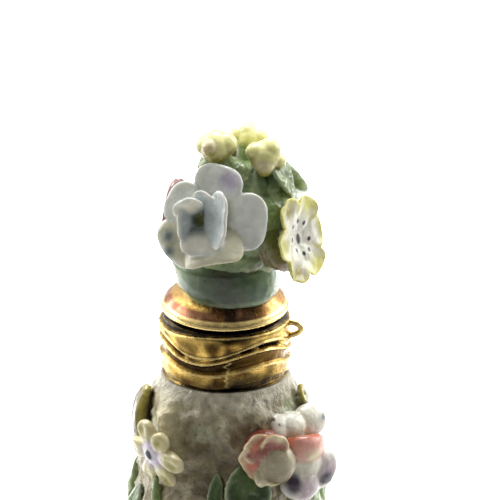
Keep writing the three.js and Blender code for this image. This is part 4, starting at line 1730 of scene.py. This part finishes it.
            # painted shade: each stalk is leaf green underneath and paler on top
            clay.rod(stalk, [2.0, 1.6, 1.4], Paint.LEAF, Paint.LICHEN)
        return clay.finish("buds", voxel=0.13, uneven=0.04)


@dataclass(frozen=True)
class Lamp:
    """A soft square lamp. Its places and side are in metres, its power in watts."""

    name: str
    at: tuple[float, float, float]
    aim_at: tuple[float, float, float]
    side: float
    power: float
    spread: float = 180.0


LAMPS = (
    Lamp("lamp_left", (-0.45, 0.2, 0.3), (0.0, 0.0, 0.06), 0.35, 2.0),
    Lamp("lamp_right", (0.45, 0.2, 0.3), (0.0, 0.0, 0.06), 0.35, 2.0),
    Lamp("lamp_backdrop", (0.0, 0.28, 0.38), (0.0, 0.28, 0.0), 0.36, 4.2, 70.0),
)


@dataclass(frozen=True)
class Studio:
    """The pale floor, the soft light and the camera.

    The tent's light is weakest against dark_side and full at light_side, both measured
    along bright_way. The camera's sizes are in millimetres.
    """

    target: tuple[float, float, float] = (1.79, 0.0, 65.9)
    elevation: float = 20.0
    distance: float = 600.0
    view_width: float = 59.14
    sensor: float = 36.0
    floor_tone: float = 0.62
    floor_side: float = 3.0
    bright_way: tuple[float, float, float] = (0.0, 0.9, 0.45)
    dark_side: float = -0.6
    light_side: float = 0.42
    weakest: float = 0.05
    tent_colour: tuple[float, float, float, float] = (1.0, 0.985, 0.93, 1.0)

    def floor(self) -> None:
        """Lays the pale floor."""
        sheet = bmesh.new()
        bmesh.ops.create_grid(sheet, x_segments=1, y_segments=1, size=self.floor_side)
        mesh = bpy.data.meshes.new("studio_floor")
        sheet.to_mesh(mesh)
        sheet.free()
        floor = stand("studio_floor", mesh)
        pale = bpy.data.materials.new("studio_white")
        pale.use_nodes = True
        shader = pale.node_tree.nodes["Principled BSDF"]
        shader.inputs["Base Color"].default_value = (*[self.floor_tone] * 3, 1.0)
        shader.inputs["Roughness"].default_value = 0.9
        mesh.materials.append(pale)

    def world(self) -> None:
        """Surrounds the bottle with white light that is dimmer in front."""
        world = bpy.data.worlds.new("light_tent")
        bpy.context.scene.world = world
        world.use_nodes = True
        nodes, links = world.node_tree.nodes, world.node_tree.links
        where = nodes.new("ShaderNodeTexCoord")
        along = nodes.new("ShaderNodeVectorMath")
        along.operation = "DOT_PRODUCT"
        along.inputs[1].default_value = self.bright_way
        links.new(where.outputs["Generated"], along.inputs[0])
        ramp = nodes.new("ShaderNodeMapRange")
        ramp.interpolation_type = "SMOOTHSTEP"
        ramp.inputs["From Min"].default_value = self.dark_side
        ramp.inputs["From Max"].default_value = self.light_side
        ramp.inputs["To Min"].default_value = self.weakest
        links.new(along.outputs["Value"], ramp.inputs["Value"])
        background = nodes["Background"]
        links.new(ramp.outputs["Result"], background.inputs["Strength"])
        background.inputs["Color"].default_value = self.tent_colour

    @staticmethod
    def _aim(made: bpy.types.Object, at: Vector) -> None:
        """Turns a lamp or camera towards a point."""
        made.rotation_euler = (at - made.location).to_track_quat("-Z", "Y").to_euler()

    def hang(self, lamp: Lamp) -> None:
        """Hangs one soft square lamp.

        Args:
            lamp: its place, size and power.
        """
        data = bpy.data.lights.new(lamp.name, "AREA")
        data.size = lamp.side
        data.energy = lamp.power
        data.spread = math.radians(lamp.spread)
        made = stand(lamp.name, data)
        made.location = Vector(lamp.at)
        self._aim(made, Vector(lamp.aim_at))

    def camera(self) -> None:
        """Sets the camera at the photograph's angle."""
        data = bpy.data.cameras.new("camera")
        data.sensor_fit = "HORIZONTAL"
        data.sensor_width = self.sensor
        data.lens = self.sensor * self.distance / self.view_width
        data.clip_start = 0.01
        data.clip_end = 50.0
        camera = stand("camera", data)
        target = Vector(self.target) * MM
        camera.location = target + direction(0, self.elevation) * self.distance * MM
        self._aim(camera, target)
        bpy.context.scene.camera = camera

    def build(self) -> None:
        """Sets up the whole studio."""
        self.floor()
        self.world()
        for lamp in LAMPS:
            self.hang(lamp)
        self.camera()
        bpy.context.scene.view_settings.view_transform = "Standard"


def main() -> None:
    """Builds and dresses every piece of the bottle."""
    logging.basicConfig(level=logging.INFO, format="%(message)s")
    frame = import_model()
    LOG.info("nodes: %s", ", ".join(sorted(frame["nodes"])))
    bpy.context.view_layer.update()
    Studio().build()
    dresser = Dresser()
    trunk = Trunk()
    dresser.dress(trunk.build(), CRUMB, "porcelain", "bottle")
    flowers = FlaskFlowers(trunk)
    for make in (
        flowers.white_flower,
        flowers.striped_flower,
        flowers.pansy,
        flowers.white_petals,
        flowers.small_flowers,
    ):
        dresser.dress(make(), GLAZE, "porcelain")
    dresser.dress(flowers.foliage(), GREEN_GLAZE, "porcelain")
    mount = StopperMount()
    dresser.dress(NeckBand().build(), GILT, "gilt", "neck_mount")
    dresser.dress(ChainLoop().build(), GILT, "gilt", "chain_loop")
    dresser.dress(mount.build(), COPPER, "copper_gilt", "stopper_mount")
    bouquet = Bouquet(mount)
    dresser.dress(bouquet.foot(), GREEN_GLAZE, "stopper_porcelain", "stopper")
    dresser.dress(bouquet.mound(), GREEN_GLAZE, "stopper_porcelain")
    for make in (bouquet.back_flowers, bouquet.rose, bouquet.trumpet, bouquet.buds):
        dresser.dress(make(), GLAZE, "stopper_porcelain")


if __name__ == "__main__":
    main()
